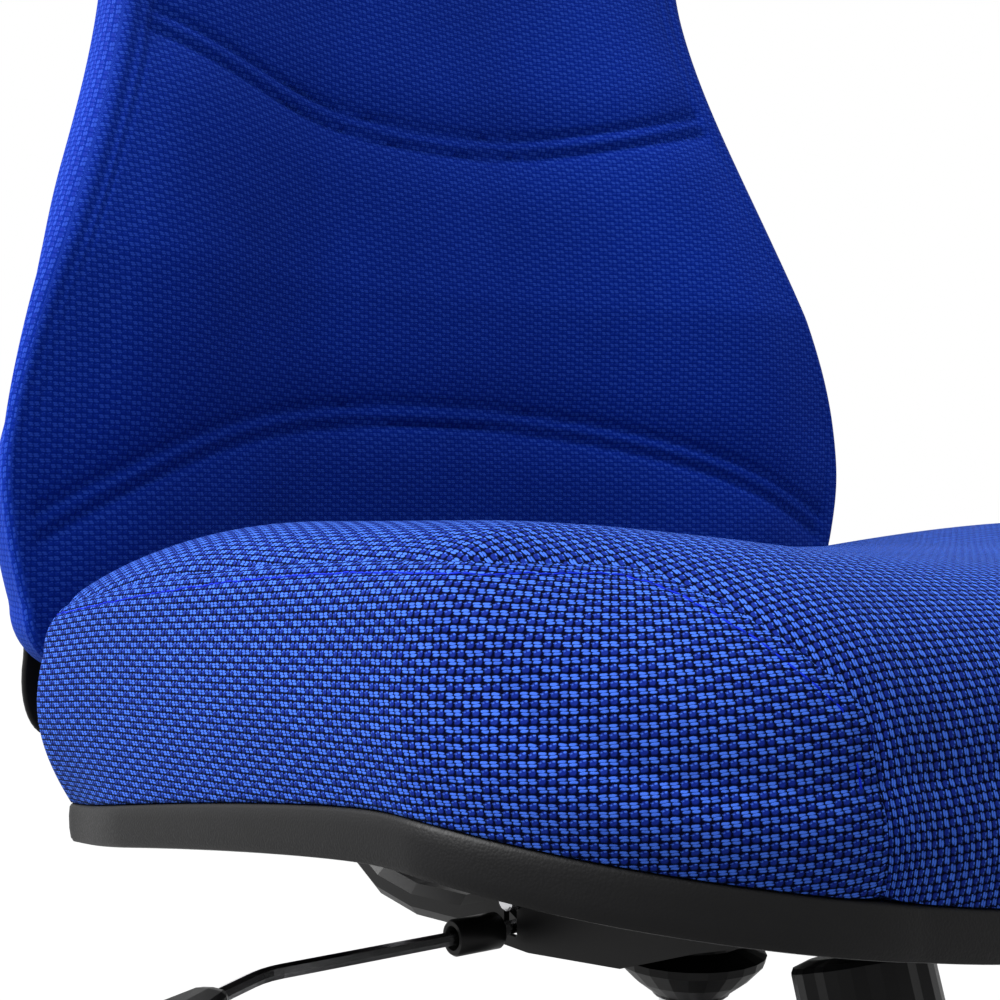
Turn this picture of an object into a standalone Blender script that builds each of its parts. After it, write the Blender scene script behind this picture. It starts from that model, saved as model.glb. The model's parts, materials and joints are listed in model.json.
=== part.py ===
"""Swivel office chair: a high padded back, a contoured seat, a tilt mechanism, a gas lift and a star base.

Metres, +Z up. The sitter faces -Y, and the sitter's left is +X. The origin is on the floor.
"""
import math

import bmesh
import bpy
from mathutils import Matrix, Vector

# Driving dimensions
LIFT_Y = 0.0095            # the gas lift's axis stands this far behind the origin
CREST_Z = 0.505            # highest line of the seat padding above the floor
GAP = 0.0003               # room between pieces that touch

SEAT_HALF_WIDTH = 0.248
SEAT_FRONT_Y = -0.247      # heights and depths of the seat count from the lift's axis and the crest
SEAT_REAR_Y = 0.149
SEAT_MIDDLE_Y = -0.048     # the padding and the shell draw in towards this point
FRONT_CORNER = (0.114, 0.088, 1.8)    # reach along X, reach along Y, squareness
REAR_CORNER = (0.098, 0.035, 2.6)
FRONT_BOW = 0.008          # the front and rear edges bow out by these amounts
REAR_BOW = 0.006
REAR_TUCK = 0.008          # the rim stands this far inside the padding at the rear
RIM_HEIGHT = 0.016
RIM_FRONT_Z = -0.1275      # underside of the shell's rim at the front
RIM_FRONT_RUN = 0.200      # reached this far round from the side arch
RIM_ARCH_Z = -0.095        # and at the top of its side arch
RIM_ARCH_Y = -0.153
RIM_REAR_Z = -0.132
RIM_REAR_RUN = 0.263
SHELL_FLOOR_Z = -0.124
SHELL_WALL = 0.005
CREST_SLOPE = 0.15         # the padding's edge falls rearwards by this slope
CREST_SLOPE_Y = -0.080     # from here
SEAT_BOLTS = ((-0.085, -0.110), (0.085, -0.110), (-0.085, 0.080), (0.085, 0.080))

BACK_TOP_Z = 0.560
BACK_THICKNESS = 0.052
BACK_EDGE_THICKNESS = 0.040
BACK_SHELL_WALL = 0.006
BACK_SHELL_DROP = 0.024    # the back's hard shell ends this far below its padding
BACK_ROWS = (-0.067, -0.040, 0.02, 0.08, 0.14, 0.21, 0.30, 0.39, 0.46, 0.515, 0.546, 0.560)
BACK_COLUMNS = 6
BACK_BOLTS = ((-0.050, 0.105), (0.050, 0.105))
CARRIER_FACE_Y = 0.2545
CARRIER_LOW_Z = 0.035
CARRIER_HIGH_Z = 0.150
BAR_HALF_WIDTH = 0.034
BAR_THICKNESS = 0.016
BAR_FRONT_Y = 0.280        # the upright's front face where it begins
BAR_FRONT_Z = 0.030
BAR_LEAN = 0.14            # the upright leans back by this slope

HOUSING_HALF_WIDTH = 0.055
HOUSING_WALL = 0.003
HOUSING_OUTLINE = ((0.078, -0.147), (0.078, -0.176), (0.066, -0.190), (0.045, -0.190), (-0.017, -0.183),
                   (-0.062, -0.167), (-0.128, -0.1474), (-0.128, -0.131))     # Y, Z of the tray's side
HOUSING_HOLLOW = ((0.090, -0.120), (0.090, -0.200), (0.058, -0.200), (0.058, -0.187), (0.045, -0.187),
                  (-0.016, -0.180), (-0.0605, -0.1641), (-0.125, -0.1450), (-0.125, -0.120))
REAR_PIN = (0.055, -0.168)     # Y, Z of the back bar's pivot
FRONT_PIN = (-0.116, -0.140)   # Y, Z of the seat's pivot
PIN_RADIUS = 0.005
KNOB_Y = -0.095
KNOB_TOP_Z = -0.166
KNOB_LEAN = math.radians(17.0)
KNOB_RADIUS = 0.028
LEVER_Y = 0.058
LEVER_Z = -0.1815
LEVER_RADIUS = 0.0032

CYLINDER_RADIUS = 0.014
COLUMN_RADIUS = 0.025
COLUMN_TOP_Z = 0.235
COLUMN_FOOT_Z = 0.055
CYLINDER_TOP_Z = 0.340
CYLINDER_FOOT_Z = 0.125

LEGS = 5
CASTOR_CIRCLE = 0.302      # distance of a castor's stem from the lift's axis
WHEEL_RADIUS = 0.025
WHEEL_WIDTH = 0.019
WHEEL_SIDES = 16
WHEEL_TRAIL = 0.019        # the axle trails its stem by this much
AXLE_RADIUS = 0.004
STEM_RADIUS = 0.0055
ROUND = 24                 # sides of a large round piece
SMALL_ROUND = 12           # and of a small one

COLOURS = {
    "black_plastic": ((0.028, 0.029, 0.032, 1.0), 0.55, 0.0),
    "black_steel": ((0.030, 0.031, 0.034, 1.0), 0.42, 0.3),
    "bright_steel": ((0.62, 0.63, 0.65, 1.0), 0.28, 1.0),
    "blue_fabric": ((0.045, 0.110, 0.480, 1.0), 0.90, 0.0),
    "grey_tyre": ((0.040, 0.040, 0.042, 1.0), 0.70, 0.0),
    "white_nylon": ((0.78, 0.78, 0.76, 1.0), 0.45, 0.0),
    "red_nylon": ((0.55, 0.04, 0.03, 1.0), 0.45, 0.0),
}


def clear_scene():
    for thing in list(bpy.data.objects):
        bpy.data.objects.remove(thing, do_unlink=True)


def material(name):
    found = bpy.data.materials.get(name)
    if found:
        return found
    colour, roughness, metallic = COLOURS[name]
    made = bpy.data.materials.new(name)
    made.use_nodes = True
    shader = made.node_tree.nodes["Principled BSDF"]
    shader.inputs["Base Color"].default_value = colour
    shader.inputs["Roughness"].default_value = roughness
    shader.inputs["Metallic"].default_value = metallic
    return made


def at(x, y, z):
    """A point counted from the lift's axis and the seat crest."""
    return Vector((x, LIFT_Y + y, CREST_Z + z))


def add_skin(bm, rings, closed=False, fans=False):
    """Bridge rings of equally many points; join the last to the first, or close both ends."""
    loops = [[bm.verts.new(point) for point in ring] for ring in rings]
    pairs = list(zip(loops, loops[1:]))
    if closed:
        pairs.append((loops[-1], loops[0]))
    count = len(loops[0])
    for lower, upper in pairs:
        for i in range(count):
            j = (i + 1) % count
            bm.faces.new((lower[i], lower[j], upper[j]))
            bm.faces.new((lower[i], upper[j], upper[i]))
    if closed:
        return
    for loop in (loops[0], loops[-1]):
        if not fans:
            bm.faces.new(loop)
            continue
        centre = bm.verts.new(sum((v.co for v in loop), Vector()) / count)
        for i in range(count):
            bm.faces.new((loop[i], loop[(i + 1) % count], centre))


def make(name, rings, colour, pivot=(0.0, 0.0, 0.0), closed=False, fans=False, sharp=35.0):
    """One object from one skin, with its origin at the pivot and its round faces smooth."""
    bm = bmesh.new()
    add_skin(bm, rings, closed, fans)
    bmesh.ops.recalc_face_normals(bm, faces=bm.faces)
    bmesh.ops.translate(bm, verts=bm.verts, vec=-Vector(pivot))
    mesh = bpy.data.meshes.new(name)
    bm.to_mesh(mesh)
    bm.free()
    return place(name, mesh, colour, pivot, sharp)


def place(name, mesh, colour, pivot, sharp=35.0):
    piece = bpy.data.objects.new(name, mesh)
    bpy.context.collection.objects.link(piece)
    piece.location = pivot
    if not mesh.materials:
        mesh.materials.append(material(colour))
    mesh.shade_smooth()
    mesh.set_sharp_from_angle(angle=math.radians(sharp))
    return piece


def turned(profile, centre, axis=(0.0, 0.0, 1.0), sides=SMALL_ROUND, start=0.0):
    """Rings of a turned piece: the profile's (radius, height) pairs about an axis through a centre."""
    turn = Vector((0.0, 0.0, 1.0)).rotation_difference(Vector(axis)).to_matrix()
    rings = []
    for radius, height in profile:
        ring = []
        for i in range(sides):
            angle = math.tau * i / sides + start
            point = Vector((radius * math.cos(angle), radius * math.sin(angle), height))
            ring.append(Vector(centre) + turn @ point)
        rings.append(ring)
    return rings


def box_rings(low, high, chamfer=0.0):
    """Rings of a block between two corners, its upright edges cut back by the chamfer."""
    c = max(chamfer, 1e-4)
    outline = [(low[0] + c, low[1]), (high[0] - c, low[1]), (high[0], low[1] + c), (high[0], high[1] - c),
               (high[0] - c, high[1]), (low[0] + c, high[1]), (low[0], high[1] - c), (low[0], low[1] + c)]
    return [[Vector((x, y, z)) for x, y in outline] for z in (low[2], high[2])]


def side_rings(outline, x_low, x_high):
    """Rings of a side outline in Y and Z, extruded along X."""
    return [[at(x, y, z) for y, z in outline] for x in (x_low, x_high)]


def tool(name, rings, closed=False):
    """A hidden helper body for a Boolean."""
    helper = make(name, rings, "black_plastic", closed=closed)
    helper.hide_render = True
    helper.display_type = "WIRE"
    return helper


def combine(piece, helper, operation):
    step = piece.modifiers.new(operation.lower(), "BOOLEAN")
    step.operation = operation
    step.solver = "EXACT"
    step.object = helper


def settle(piece, sharp=35.0):
    """Turn a piece's modifiers into its mesh, and take away the helpers they used."""
    bpy.context.view_layer.update()
    helpers = [step.object for step in piece.modifiers]
    graph = bpy.context.evaluated_depsgraph_get()
    mesh = bpy.data.meshes.new_from_object(piece.evaluated_get(graph))
    piece.modifiers.clear()
    piece.data = mesh
    for helper in helpers:
        bpy.data.objects.remove(helper, do_unlink=True)
    bm = bmesh.new()
    bm.from_mesh(mesh)
    bmesh.ops.triangulate(bm, faces=bm.faces)
    bm.to_mesh(mesh)
    bm.free()
    mesh.shade_smooth()
    mesh.set_sharp_from_angle(angle=math.radians(sharp))


def smooth_step(t):
    t = min(max(t, 0.0), 1.0)
    return t * t * (3.0 - 2.0 * t)


# ---- star base, castors and gas lift ----

def lift_point(x, y, z):
    """A point counted from the lift's axis and the floor."""
    return Vector((x, LIFT_Y + y, z))


def leg_angle(index):
    return math.radians(-90.0 + 360.0 * index / LEGS)


def leg_rings(index):
    """Sections along one leg: width and height shrink outwards, and the top is arched."""
    across = Vector((-math.sin(leg_angle(index)), math.cos(leg_angle(index)), 0.0))
    out = Vector((math.cos(leg_angle(index)), math.sin(leg_angle(index)), 0.0))
    rings = []
    for step in range(5):
        t = step / 4
        reach = 0.034 + (CASTOR_CIRCLE + 0.012 - 0.034) * t
        half = 0.0235 - 0.0095 * t
        top = 0.118 - 0.032 * t ** 1.4
        bottom = 0.060 + 0.0055 * smooth_step(t)
        shape = [(-half, bottom), (half, bottom), (half, top - 0.014), (half * 0.82, top - 0.005),
                 (half * 0.4, top), (-half * 0.4, top), (-half * 0.82, top - 0.005), (-half, top - 0.014)]
        rings.append([lift_point(0, 0, 0) + out * reach + across * a + Vector((0, 0, z)) for a, z in shape])
    return rings


def star_base():
    hub = [(COLUMN_RADIUS + GAP, 0.128), (0.036, 0.128), (0.041, 0.122), (0.043, 0.100), (0.047, 0.052),
           (COLUMN_RADIUS + GAP, 0.052)]
    base = make("star_base", turned(hub, lift_point(0, 0, 0), sides=ROUND), "black_plastic", closed=True)
    for index in range(LEGS):
        angle = leg_angle(index)
        x = CASTOR_CIRCLE * math.cos(angle)
        y = CASTOR_CIRCLE * math.sin(angle)
        combine(base, tool("leg", leg_rings(index)), "UNION")
        pad = [(0.0170, 0.0632), (0.0176, 0.0830), (0.0150, 0.0893)]
        combine(base, tool("pad", turned(pad, lift_point(x, y, 0))), "UNION")
        bore = [(STEM_RADIUS + GAP, 0.050), (STEM_RADIUS + GAP, 0.0842)]
        combine(base, tool("stem_hole", turned(bore, lift_point(x, y, 0))), "DIFFERENCE")
    throat = [(COLUMN_RADIUS + GAP, 0.040), (COLUMN_RADIUS + GAP, 0.140)]
    combine(base, tool("throat", turned(throat, lift_point(0, 0, 0), sides=ROUND)), "DIFFERENCE")
    settle(base)


def castor_turn(index):
    """How each castor happens to stand: it trails outwards, each by its own small angle."""
    own = (0.0, 38.0, -52.0, 52.0, -38.0)
    return leg_angle(index) + math.radians(own[index])


def castor_hood_mesh():
    """The hood about its stem's foot: an arched cover, a web between the wheels and a boss for the stem."""
    centre = Vector((WHEEL_TRAIL, 0.0, WHEEL_RADIUS))
    half = WHEEL_WIDTH + 0.0055
    sweep = [math.radians(8 + 188 * i / 8) for i in range(9)]
    outline = [(0.0296, a) for a in sweep] + [(0.0271, a) for a in reversed(sweep)]
    rings = [[centre + Vector((r * math.cos(a), y, r * math.sin(a))) for r, a in outline]
             for y in (-half, half)]
    hood = make("castor_hood", rings, "black_plastic")
    arc = [math.radians(20 + 165 * i / 6) for i in range(7)]
    web = [(0.0282 * math.cos(a), 0.0282 * math.sin(a)) for a in arc] + [(-0.014, -0.007), (0.014, -0.007)]
    plate = [[centre + Vector((x, y, z)) for x, z in web] for y in (-0.0042, 0.0042)]
    combine(hood, tool("web", plate), "UNION")
    boss = [(0.0088, 0.0495), (0.0088, 0.0622)]
    combine(hood, tool("boss", turned(boss, (0, 0, 0))), "UNION")
    hole = [(STEM_RADIUS + GAP, 0.0508), (STEM_RADIUS + GAP, 0.0700)]
    combine(hood, tool("hole", turned(hole, (0, 0, 0))), "DIFFERENCE")
    axle_hole = [(AXLE_RADIUS + GAP, -0.010), (AXLE_RADIUS + GAP, 0.010)]
    combine(hood, tool("axle_hole", turned(axle_hole, centre, (0, 1, 0))), "DIFFERENCE")
    settle(hood)
    mesh = hood.data
    bpy.data.objects.remove(hood, do_unlink=True)
    return mesh


def wheel_rings(side):
    """A wheel about its centre plane, standing on a flat facet, so its corners reach a little wider."""
    near = 0.0052
    far = near + WHEEL_WIDTH - 0.001
    half_step = math.pi / WHEEL_SIDES
    tread = WHEEL_RADIUS / math.cos(half_step)
    profile = [(AXLE_RADIUS + GAP, near), (tread - 0.0015, near), (tread, near + 0.004), (tread, far - 0.006),
               (tread - 0.004, far), (AXLE_RADIUS + GAP, far)]
    return turned(profile, (0, 0, 0), (0, side, 0), WHEEL_SIDES, half_step)


def castors():
    hood_mesh = castor_hood_mesh()
    for index in range(LEGS):
        turn = Matrix.Rotation(castor_turn(index), 4, "Z")
        angle = leg_angle(index)
        foot = lift_point(CASTOR_CIRCLE * math.cos(angle), CASTOR_CIRCLE * math.sin(angle), 0.0)
        label = "castor_" + str(index + 1)
        hood = place(label + "_hood", hood_mesh, "black_plastic", foot)
        stem = [(STEM_RADIUS, 0.0512), (STEM_RADIUS, 0.0838)]
        stem_piece = make(label + "_stem", turned(stem, (0, 0, 0)), "bright_steel")
        stem_piece.location = foot
        axle_centre = turn @ Vector((WHEEL_TRAIL, 0.0, WHEEL_RADIUS))
        axle = [(AXLE_RADIUS, -0.0218), (AXLE_RADIUS, 0.0218)]
        pieces = [make(label + "_axle", turned(axle, (0, 0, 0), (0, 1, 0)), "bright_steel")]
        pieces.append(make(label + "_wheel_left", wheel_rings(1), "grey_tyre", closed=True))
        pieces.append(make(label + "_wheel_right", wheel_rings(-1), "grey_tyre", closed=True))
        for piece in pieces:
            piece.location = foot + axle_centre
            piece.rotation_euler = (0.0, 0.0, castor_turn(index))
        hood.rotation_euler = (0.0, 0.0, castor_turn(index))


def gas_lift():
    axis = lift_point(0, 0, 0)
    inner = COLUMN_RADIUS - 0.0018
    tube = [(0.0058, COLUMN_FOOT_Z + 0.004), (inner, COLUMN_FOOT_Z + 0.004), (inner, COLUMN_TOP_Z),
            (COLUMN_RADIUS, COLUMN_TOP_Z), (COLUMN_RADIUS, COLUMN_FOOT_Z), (0.0058, COLUMN_FOOT_Z)]
    make("column_tube", turned(tube, axis, sides=ROUND), "black_steel", axis, closed=True)
    bush_bore = CYLINDER_RADIUS + GAP
    bush = [(bush_bore, 0.150), (inner - GAP, 0.150), (inner - GAP, COLUMN_TOP_Z + GAP),
            (COLUMN_RADIUS + 0.001, COLUMN_TOP_Z + GAP), (COLUMN_RADIUS, COLUMN_TOP_Z + 0.005),
            (bush_bore, COLUMN_TOP_Z + 0.006)]
    make("guide_bush", turned(bush, axis, sides=ROUND), "black_plastic", axis, closed=True)
    race = COLUMN_FOOT_Z + 0.004 + GAP
    bearing = [(0.0062, race), (0.0150, race), (0.0160, race + 0.003), (0.0150, race + 0.006),
               (0.0062, race + 0.006)]
    make("thrust_bearing", turned(bearing, axis), "bright_steel", axis, closed=True)
    collar = race + 0.006 + GAP
    rod = [(0.0045, 0.0512), (0.0050, 0.0520), (0.0050, collar), (0.0085, collar), (0.0085, collar + 0.004),
           (0.0050, collar + 0.005), (0.0050, 0.204), (0.0096, 0.205), (0.0096, 0.214), (0.0080, 0.215)]
    make("piston_rod", turned(rod, axis), "bright_steel", axis)
    clip = [(0.0053, 0.0524), (0.0095, 0.0524), (0.0095, COLUMN_FOOT_Z - GAP), (0.0053, COLUMN_FOOT_Z - GAP)]
    make("retaining_clip", turned(clip, axis), "bright_steel", axis, closed=True)
    gas_cylinder(axis)


def gas_cylinder(axis):
    """One turned wall from the valve hole in the top, down the outside, and up the bore for the rod."""
    top = CYLINDER_TOP_Z
    profile = [(0.0006, top - 0.012), (0.0036, top - 0.012), (0.0036, top), (0.0120, top),
               (CYLINDER_RADIUS, top - 0.003), (CYLINDER_RADIUS, CYLINDER_FOOT_Z),
               (0.0053, CYLINDER_FOOT_Z), (0.0053, CYLINDER_FOOT_Z + 0.012),
               (0.0100, CYLINDER_FOOT_Z + 0.013), (0.0100, top - 0.020), (0.0006, top - 0.018)]
    make("gas_cylinder", turned(profile, axis, sides=ROUND), "bright_steel", axis)
    pin = [(0.0026, top - 0.0055), (0.0032, top - 0.0048), (0.0032, top + 0.0068), (0.0026, top + 0.0076)]
    make("release_button", turned(pin, axis), "red_nylon", axis)


# ---- tilt mechanism ----

def mechanism_housing():
    """A pressed tray open at the top and rear, with the tapered socket that holds the gas cylinder."""
    half = HOUSING_HALF_WIDTH
    wall = HOUSING_WALL
    tray = make("mechanism_housing", side_rings(HOUSING_OUTLINE, -half, half), "black_steel")
    hollow = side_rings(HOUSING_HOLLOW, -half + wall, half - wall)
    combine(tray, tool("hollow", hollow), "DIFFERENCE")
    socket = [(0.0165, -0.206), (0.0175, -0.2045), (0.0250, -0.199), (0.0320, -0.192), (0.0330, -0.1885),
              (0.0220, -0.184), (0.0190, -0.172)]
    centre = at(0, 0, 0)
    combine(tray, tool("socket", turned(socket, centre, sides=ROUND)), "UNION")
    bore = [(CYLINDER_RADIUS + GAP, -0.220), (CYLINDER_RADIUS + GAP, -0.160)]
    combine(tray, tool("bore", turned(bore, centre, sides=ROUND)), "DIFFERENCE")
    for y, z in (REAR_PIN, FRONT_PIN):
        hole = [(PIN_RADIUS + GAP, -0.070), (PIN_RADIUS + GAP, 0.070)]
        combine(tray, tool("pin_hole", turned(hole, at(0, y, z), (1, 0, 0))), "DIFFERENCE")
    for side in (-1, 1):
        low = at(side * half - 0.006, LEVER_Y - 0.0048, LEVER_Z - 0.0035)
        high = at(side * half + 0.006, LEVER_Y + 0.0048, LEVER_Z + 0.0085)
        combine(tray, tool("lever_slot", box_rings(low, high)), "DIFFERENCE")
    lean = (0.0, -math.sin(KNOB_LEAN), -math.cos(KNOB_LEAN))
    hole = [(0.0044, -0.030), (0.0044, 0.020)]
    combine(tray, tool("bolt_hole", turned(hole, at(0, KNOB_Y, KNOB_TOP_Z), lean)), "DIFFERENCE")
    settle(tray)


def pins():
    both = (("rear_pivot_pin", REAR_PIN, 0.0605), ("front_pivot_pin", FRONT_PIN, 0.0635))
    for name, place_yz, reach in both:
        profile = [(PIN_RADIUS - 0.0006, -reach), (PIN_RADIUS, -reach + 0.0008), (PIN_RADIUS, reach - 0.0008),
                   (PIN_RADIUS - 0.0006, reach)]
        centre = at(0, *place_yz)
        make(name, turned(profile, centre, (1, 0, 0)), "bright_steel", centre)


def tension_set():
    """The knob that sets how hard the back resists, its bolt, and the coil spring inside the tray."""
    lean = Vector((0.0, -math.sin(KNOB_LEAN), -math.cos(KNOB_LEAN)))
    top = at(0, KNOB_Y, KNOB_TOP_Z)
    knob = [(0.0046, 0.0015), (0.0200, 0.0015), (KNOB_RADIUS - 0.0012, 0.0035), (KNOB_RADIUS, 0.0055),
            (KNOB_RADIUS, 0.0400), (KNOB_RADIUS - 0.0030, 0.0450), (0.0046, 0.0460)]
    rings = turned(knob, top, lean, 32)
    for ring in rings[2:6]:
        centre = sum(ring, Vector()) / len(ring)
        for i in range(0, len(ring), 4):
            ring[i] = centre + (ring[i] - centre) * 0.95
    make("tension_knob", rings, "black_plastic", top, closed=True)
    bolt = [(0.0034, -0.0262), (0.0040, -0.0254), (0.0040, 0.0420), (0.0034, 0.0430)]
    make("tension_bolt", turned(bolt, top, lean, 12), "bright_steel", top)
    turns, pitch, radius, wire, steps = 4, 0.0030, 0.0085, 0.0009, 10
    points = []
    for i in range(turns * steps + 1):
        angle = math.tau * i / steps
        points.append((radius * math.cos(angle), radius * math.sin(angle), -0.0255 + pitch * i / steps))
    turn = Vector((0, 0, 1)).rotation_difference(lean).to_matrix()
    wire_piece("tension_spring", [top + turn @ Vector(p) for p in points], wire, "bright_steel", top, 5)


def wire_piece(name, points, radius, colour, pivot, sides=8):
    """A round wire along points: each section is square to the path and keeps its turn."""
    rings = []
    normal = None
    for i, point in enumerate(points):
        ahead = points[min(i + 1, len(points) - 1)]
        behind = points[max(i - 1, 0)]
        along = (ahead - behind).normalized()
        if normal is None:
            normal = along.orthogonal().normalized()
        normal = (normal - along * normal.dot(along)).normalized()
        side = along.cross(normal)
        ring = []
        for k in range(sides):
            angle = math.tau * k / sides
            ring.append(point + (normal * math.cos(angle) + side * math.sin(angle)) * radius)
        rings.append(ring)
    return make(name, rings, colour, pivot)


def rounded_path(corners, radius, steps=3):
    """A path through corners, each rounded by a curve of about the given radius."""
    path = [corners[0]]
    for before, corner, after in zip(corners, corners[1:], corners[2:]):
        start = corner + (before - corner).normalized() * radius
        end = corner + (after - corner).normalized() * radius
        for k in range(steps + 1):
            t = k / steps
            path.append(start * (1 - t) ** 2 + corner * 2 * t * (1 - t) + end * t ** 2)
    path.append(corners[-1])
    return path


def paddle(name, inner, outer, width, thick, colour, pivot):
    """A flat grip from one point to another: a rounded plate, wider than it is thick."""
    along = (outer - inner).normalized()
    across = along.cross(Vector((0, 0, 1))).normalized()
    up = across.cross(along)
    length = (outer - inner).length
    rings = []
    for t, grow, rise in ((0.0, 0.45, 0.9), (0.05, 0.60, 1.0), (0.35, 0.92, 1.0), (0.80, 1.0, 0.9),
                          (0.95, 0.85, 0.8), (1.0, 0.55, 0.6)):
        ring = []
        for k in range(12):
            angle = math.tau * k / 12
            side = math.copysign(abs(math.cos(angle)) ** 0.6, math.cos(angle)) * width * grow / 2
            lift = math.copysign(abs(math.sin(angle)) ** 0.7, math.sin(angle)) * thick * rise / 2
            ring.append(inner + along * length * t + across * side + up * lift)
        rings.append(ring)
    make(name, rings, colour, pivot)


def levers():
    pivot = at(-HOUSING_HALF_WIDTH, LEVER_Y, LEVER_Z)
    button_top = CYLINDER_TOP_Z + 0.0076 - CREST_Z + GAP + LEVER_RADIUS
    corners = [at(0.003, -0.004, button_top), at(-0.018, 0.016, button_top), at(-0.033, 0.037, -0.1795),
               at(-0.038, LEVER_Y, -0.1805),
               at(-HOUSING_HALF_WIDTH, LEVER_Y, LEVER_Z), at(-0.178, LEVER_Y, -0.182),
               at(-0.206, LEVER_Y - 0.014, -0.183)]
    wire_piece("height_lever_rod", rounded_path(corners, 0.008), LEVER_RADIUS, "bright_steel", pivot)
    grip(pivot, "height_lever_paddle", at(-0.2066, LEVER_Y - 0.0143, -0.183),
         at(-0.262, LEVER_Y - 0.044, -0.186))
    pivot = at(HOUSING_HALF_WIDTH, LEVER_Y, LEVER_Z)
    corners = [at(0.034, LEVER_Y - 0.012, LEVER_Z + 0.002), at(0.040, LEVER_Y, LEVER_Z), pivot,
               at(0.178, LEVER_Y, -0.182), at(0.206, LEVER_Y - 0.014, -0.183)]
    wire_piece("tilt_lever_rod", rounded_path(corners, 0.005), LEVER_RADIUS, "bright_steel", pivot)
    grip(pivot, "tilt_lever_paddle", at(0.2066, LEVER_Y - 0.0143, -0.183), at(0.262, LEVER_Y - 0.044, -0.186))


def grip(pivot, name, inner, outer):
    paddle(name, inner, outer, 0.030, 0.010, "black_plastic", pivot)


def seat_bracket():
    """The steel plate under the seat, with two ears that hang on the front pin."""
    plate = make("seat_bracket", box_rings(at(-0.105, -0.140, -0.1285), at(0.105, 0.105, -0.1243), 0.02),
                 "black_steel", at(0, *FRONT_PIN))
    helpers = []
    for side in (-1, 1):
        x_near = side * (HOUSING_HALF_WIDTH + 0.0010)
        x_far = side * (HOUSING_HALF_WIDTH + 0.0050)
        y, z = FRONT_PIN
        outline = [(y - 0.020, -0.1260), (y + 0.022, -0.1260), (y + 0.0115, z - 0.005),
                   (y + 0.006, z - 0.0105), (y - 0.006, z - 0.0105), (y - 0.0115, z - 0.005)]
        helpers.append((tool("ear", side_rings(outline, min(x_near, x_far), max(x_near, x_far))), "UNION"))
    hole = [(PIN_RADIUS + GAP, -0.070), (PIN_RADIUS + GAP, 0.070)]
    helpers.append((tool("pin_hole", turned(hole, at(0, *FRONT_PIN), (1, 0, 0))), "DIFFERENCE"))
    for x, y in SEAT_BOLTS:
        hole = [(0.0034, -0.140), (0.0034, -0.110)]
        helpers.append((tool("bolt_hole", turned(hole, at(x, y, 0), sides=8)), "DIFFERENCE"))
    for helper, operation in helpers:
        combine(plate, helper, operation)
    settle(plate)


def seat_bolts():
    for index, (x, y) in enumerate(SEAT_BOLTS):
        top = at(x, y, 0)
        profile = [(0.0066, -0.1336), (0.0066, -0.1288), (0.0030, -0.1288), (0.0030, -0.1200)]
        make("seat_bolt_" + str(index + 1), turned(profile, top, sides=6), "bright_steel", top)


# ---- seat ----

def corner_point(t, corner):
    """A point on a rounded corner, 0 at the side and 1 at the end, as a share of the corner's reach."""
    reach_x, reach_y, power = corner
    angle = t * math.pi / 2
    return reach_x * math.cos(angle) ** (2 / power), reach_y * math.sin(angle) ** (2 / power)


def seat_outline():
    """The right half of the seat's plan from the middle of its front edge to the middle of its rear."""
    x_corner = SEAT_HALF_WIDTH - FRONT_CORNER[0]
    y_corner = SEAT_FRONT_Y + FRONT_BOW + FRONT_CORNER[1]
    points = [(x_corner * i / 3, SEAT_FRONT_Y + FRONT_BOW * (i / 3) ** 2) for i in range(3)]
    for i in range(8):
        dx, dy = corner_point(1.0 - i / 7, FRONT_CORNER)
        points.append((x_corner + dx, y_corner - dy))
    y_rear = SEAT_REAR_Y - REAR_BOW - REAR_CORNER[1]
    points += [(SEAT_HALF_WIDTH, y_corner + (y_rear - y_corner) * i / 4) for i in (1, 2, 3)]
    x_rear = SEAT_HALF_WIDTH - REAR_CORNER[0]
    for i in range(6):
        dx, dy = corner_point(i / 5, REAR_CORNER)
        points.append((x_rear + dx, y_rear + dy))
    points += [(x_rear * (2 - i) / 2, SEAT_REAR_Y - REAR_BOW * ((2 - i) / 2) ** 2) for i in (1, 2)]
    return points


def rim_z(points):
    """Height of the rim's underside at each point: it arches up at each side, a little behind the corner."""
    arch = next(i for i, (x, y) in enumerate(points) if y > RIM_ARCH_Y and x > 0.2)
    run = [0.0]
    for (x0, y0), (x1, y1) in zip(points, points[1:]):
        run.append(run[-1] + math.hypot(x1 - x0, y1 - y0))
    heights = []
    for here in run:
        away = here - run[arch]
        if away < 0.0:
            drop = (RIM_ARCH_Z - RIM_FRONT_Z) * min(-away / RIM_FRONT_RUN, 1.0) ** 1.05
        else:
            drop = (RIM_ARCH_Z - RIM_REAR_Z) * min(away / RIM_REAR_RUN, 1.0) ** 1.2
        heights.append(RIM_ARCH_Z - drop)
    return heights


def seat_ring(scale, heights, lift=0.0, inset=0.0, tuck=0.0):
    """A ring round the seat at the given heights, drawn in, and tucked in further at the rear."""
    points = seat_outline()
    full = []
    for (x, y), z in zip(points, heights):
        length = math.hypot(x, y - SEAT_MIDDLE_Y)
        drawn = inset + tuck * smooth_step((y - 0.040) / 0.080)
        keep = scale * (length - drawn) / length
        full.append((x * keep, SEAT_MIDDLE_Y + (y - SEAT_MIDDLE_Y) * keep, z + lift))
    mirrored = [(-x, y, z) for x, y, z in reversed(full[1:-1])]
    return [at(*point) for point in full + mirrored]


def shell_haunch(heights):
    """Height of the shell's underside a little inside the rim: where the rim arches up, it follows."""
    return [SHELL_FLOOR_Z + 0.6 * max(0.0, z - SHELL_FLOOR_Z) for z in heights]


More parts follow.
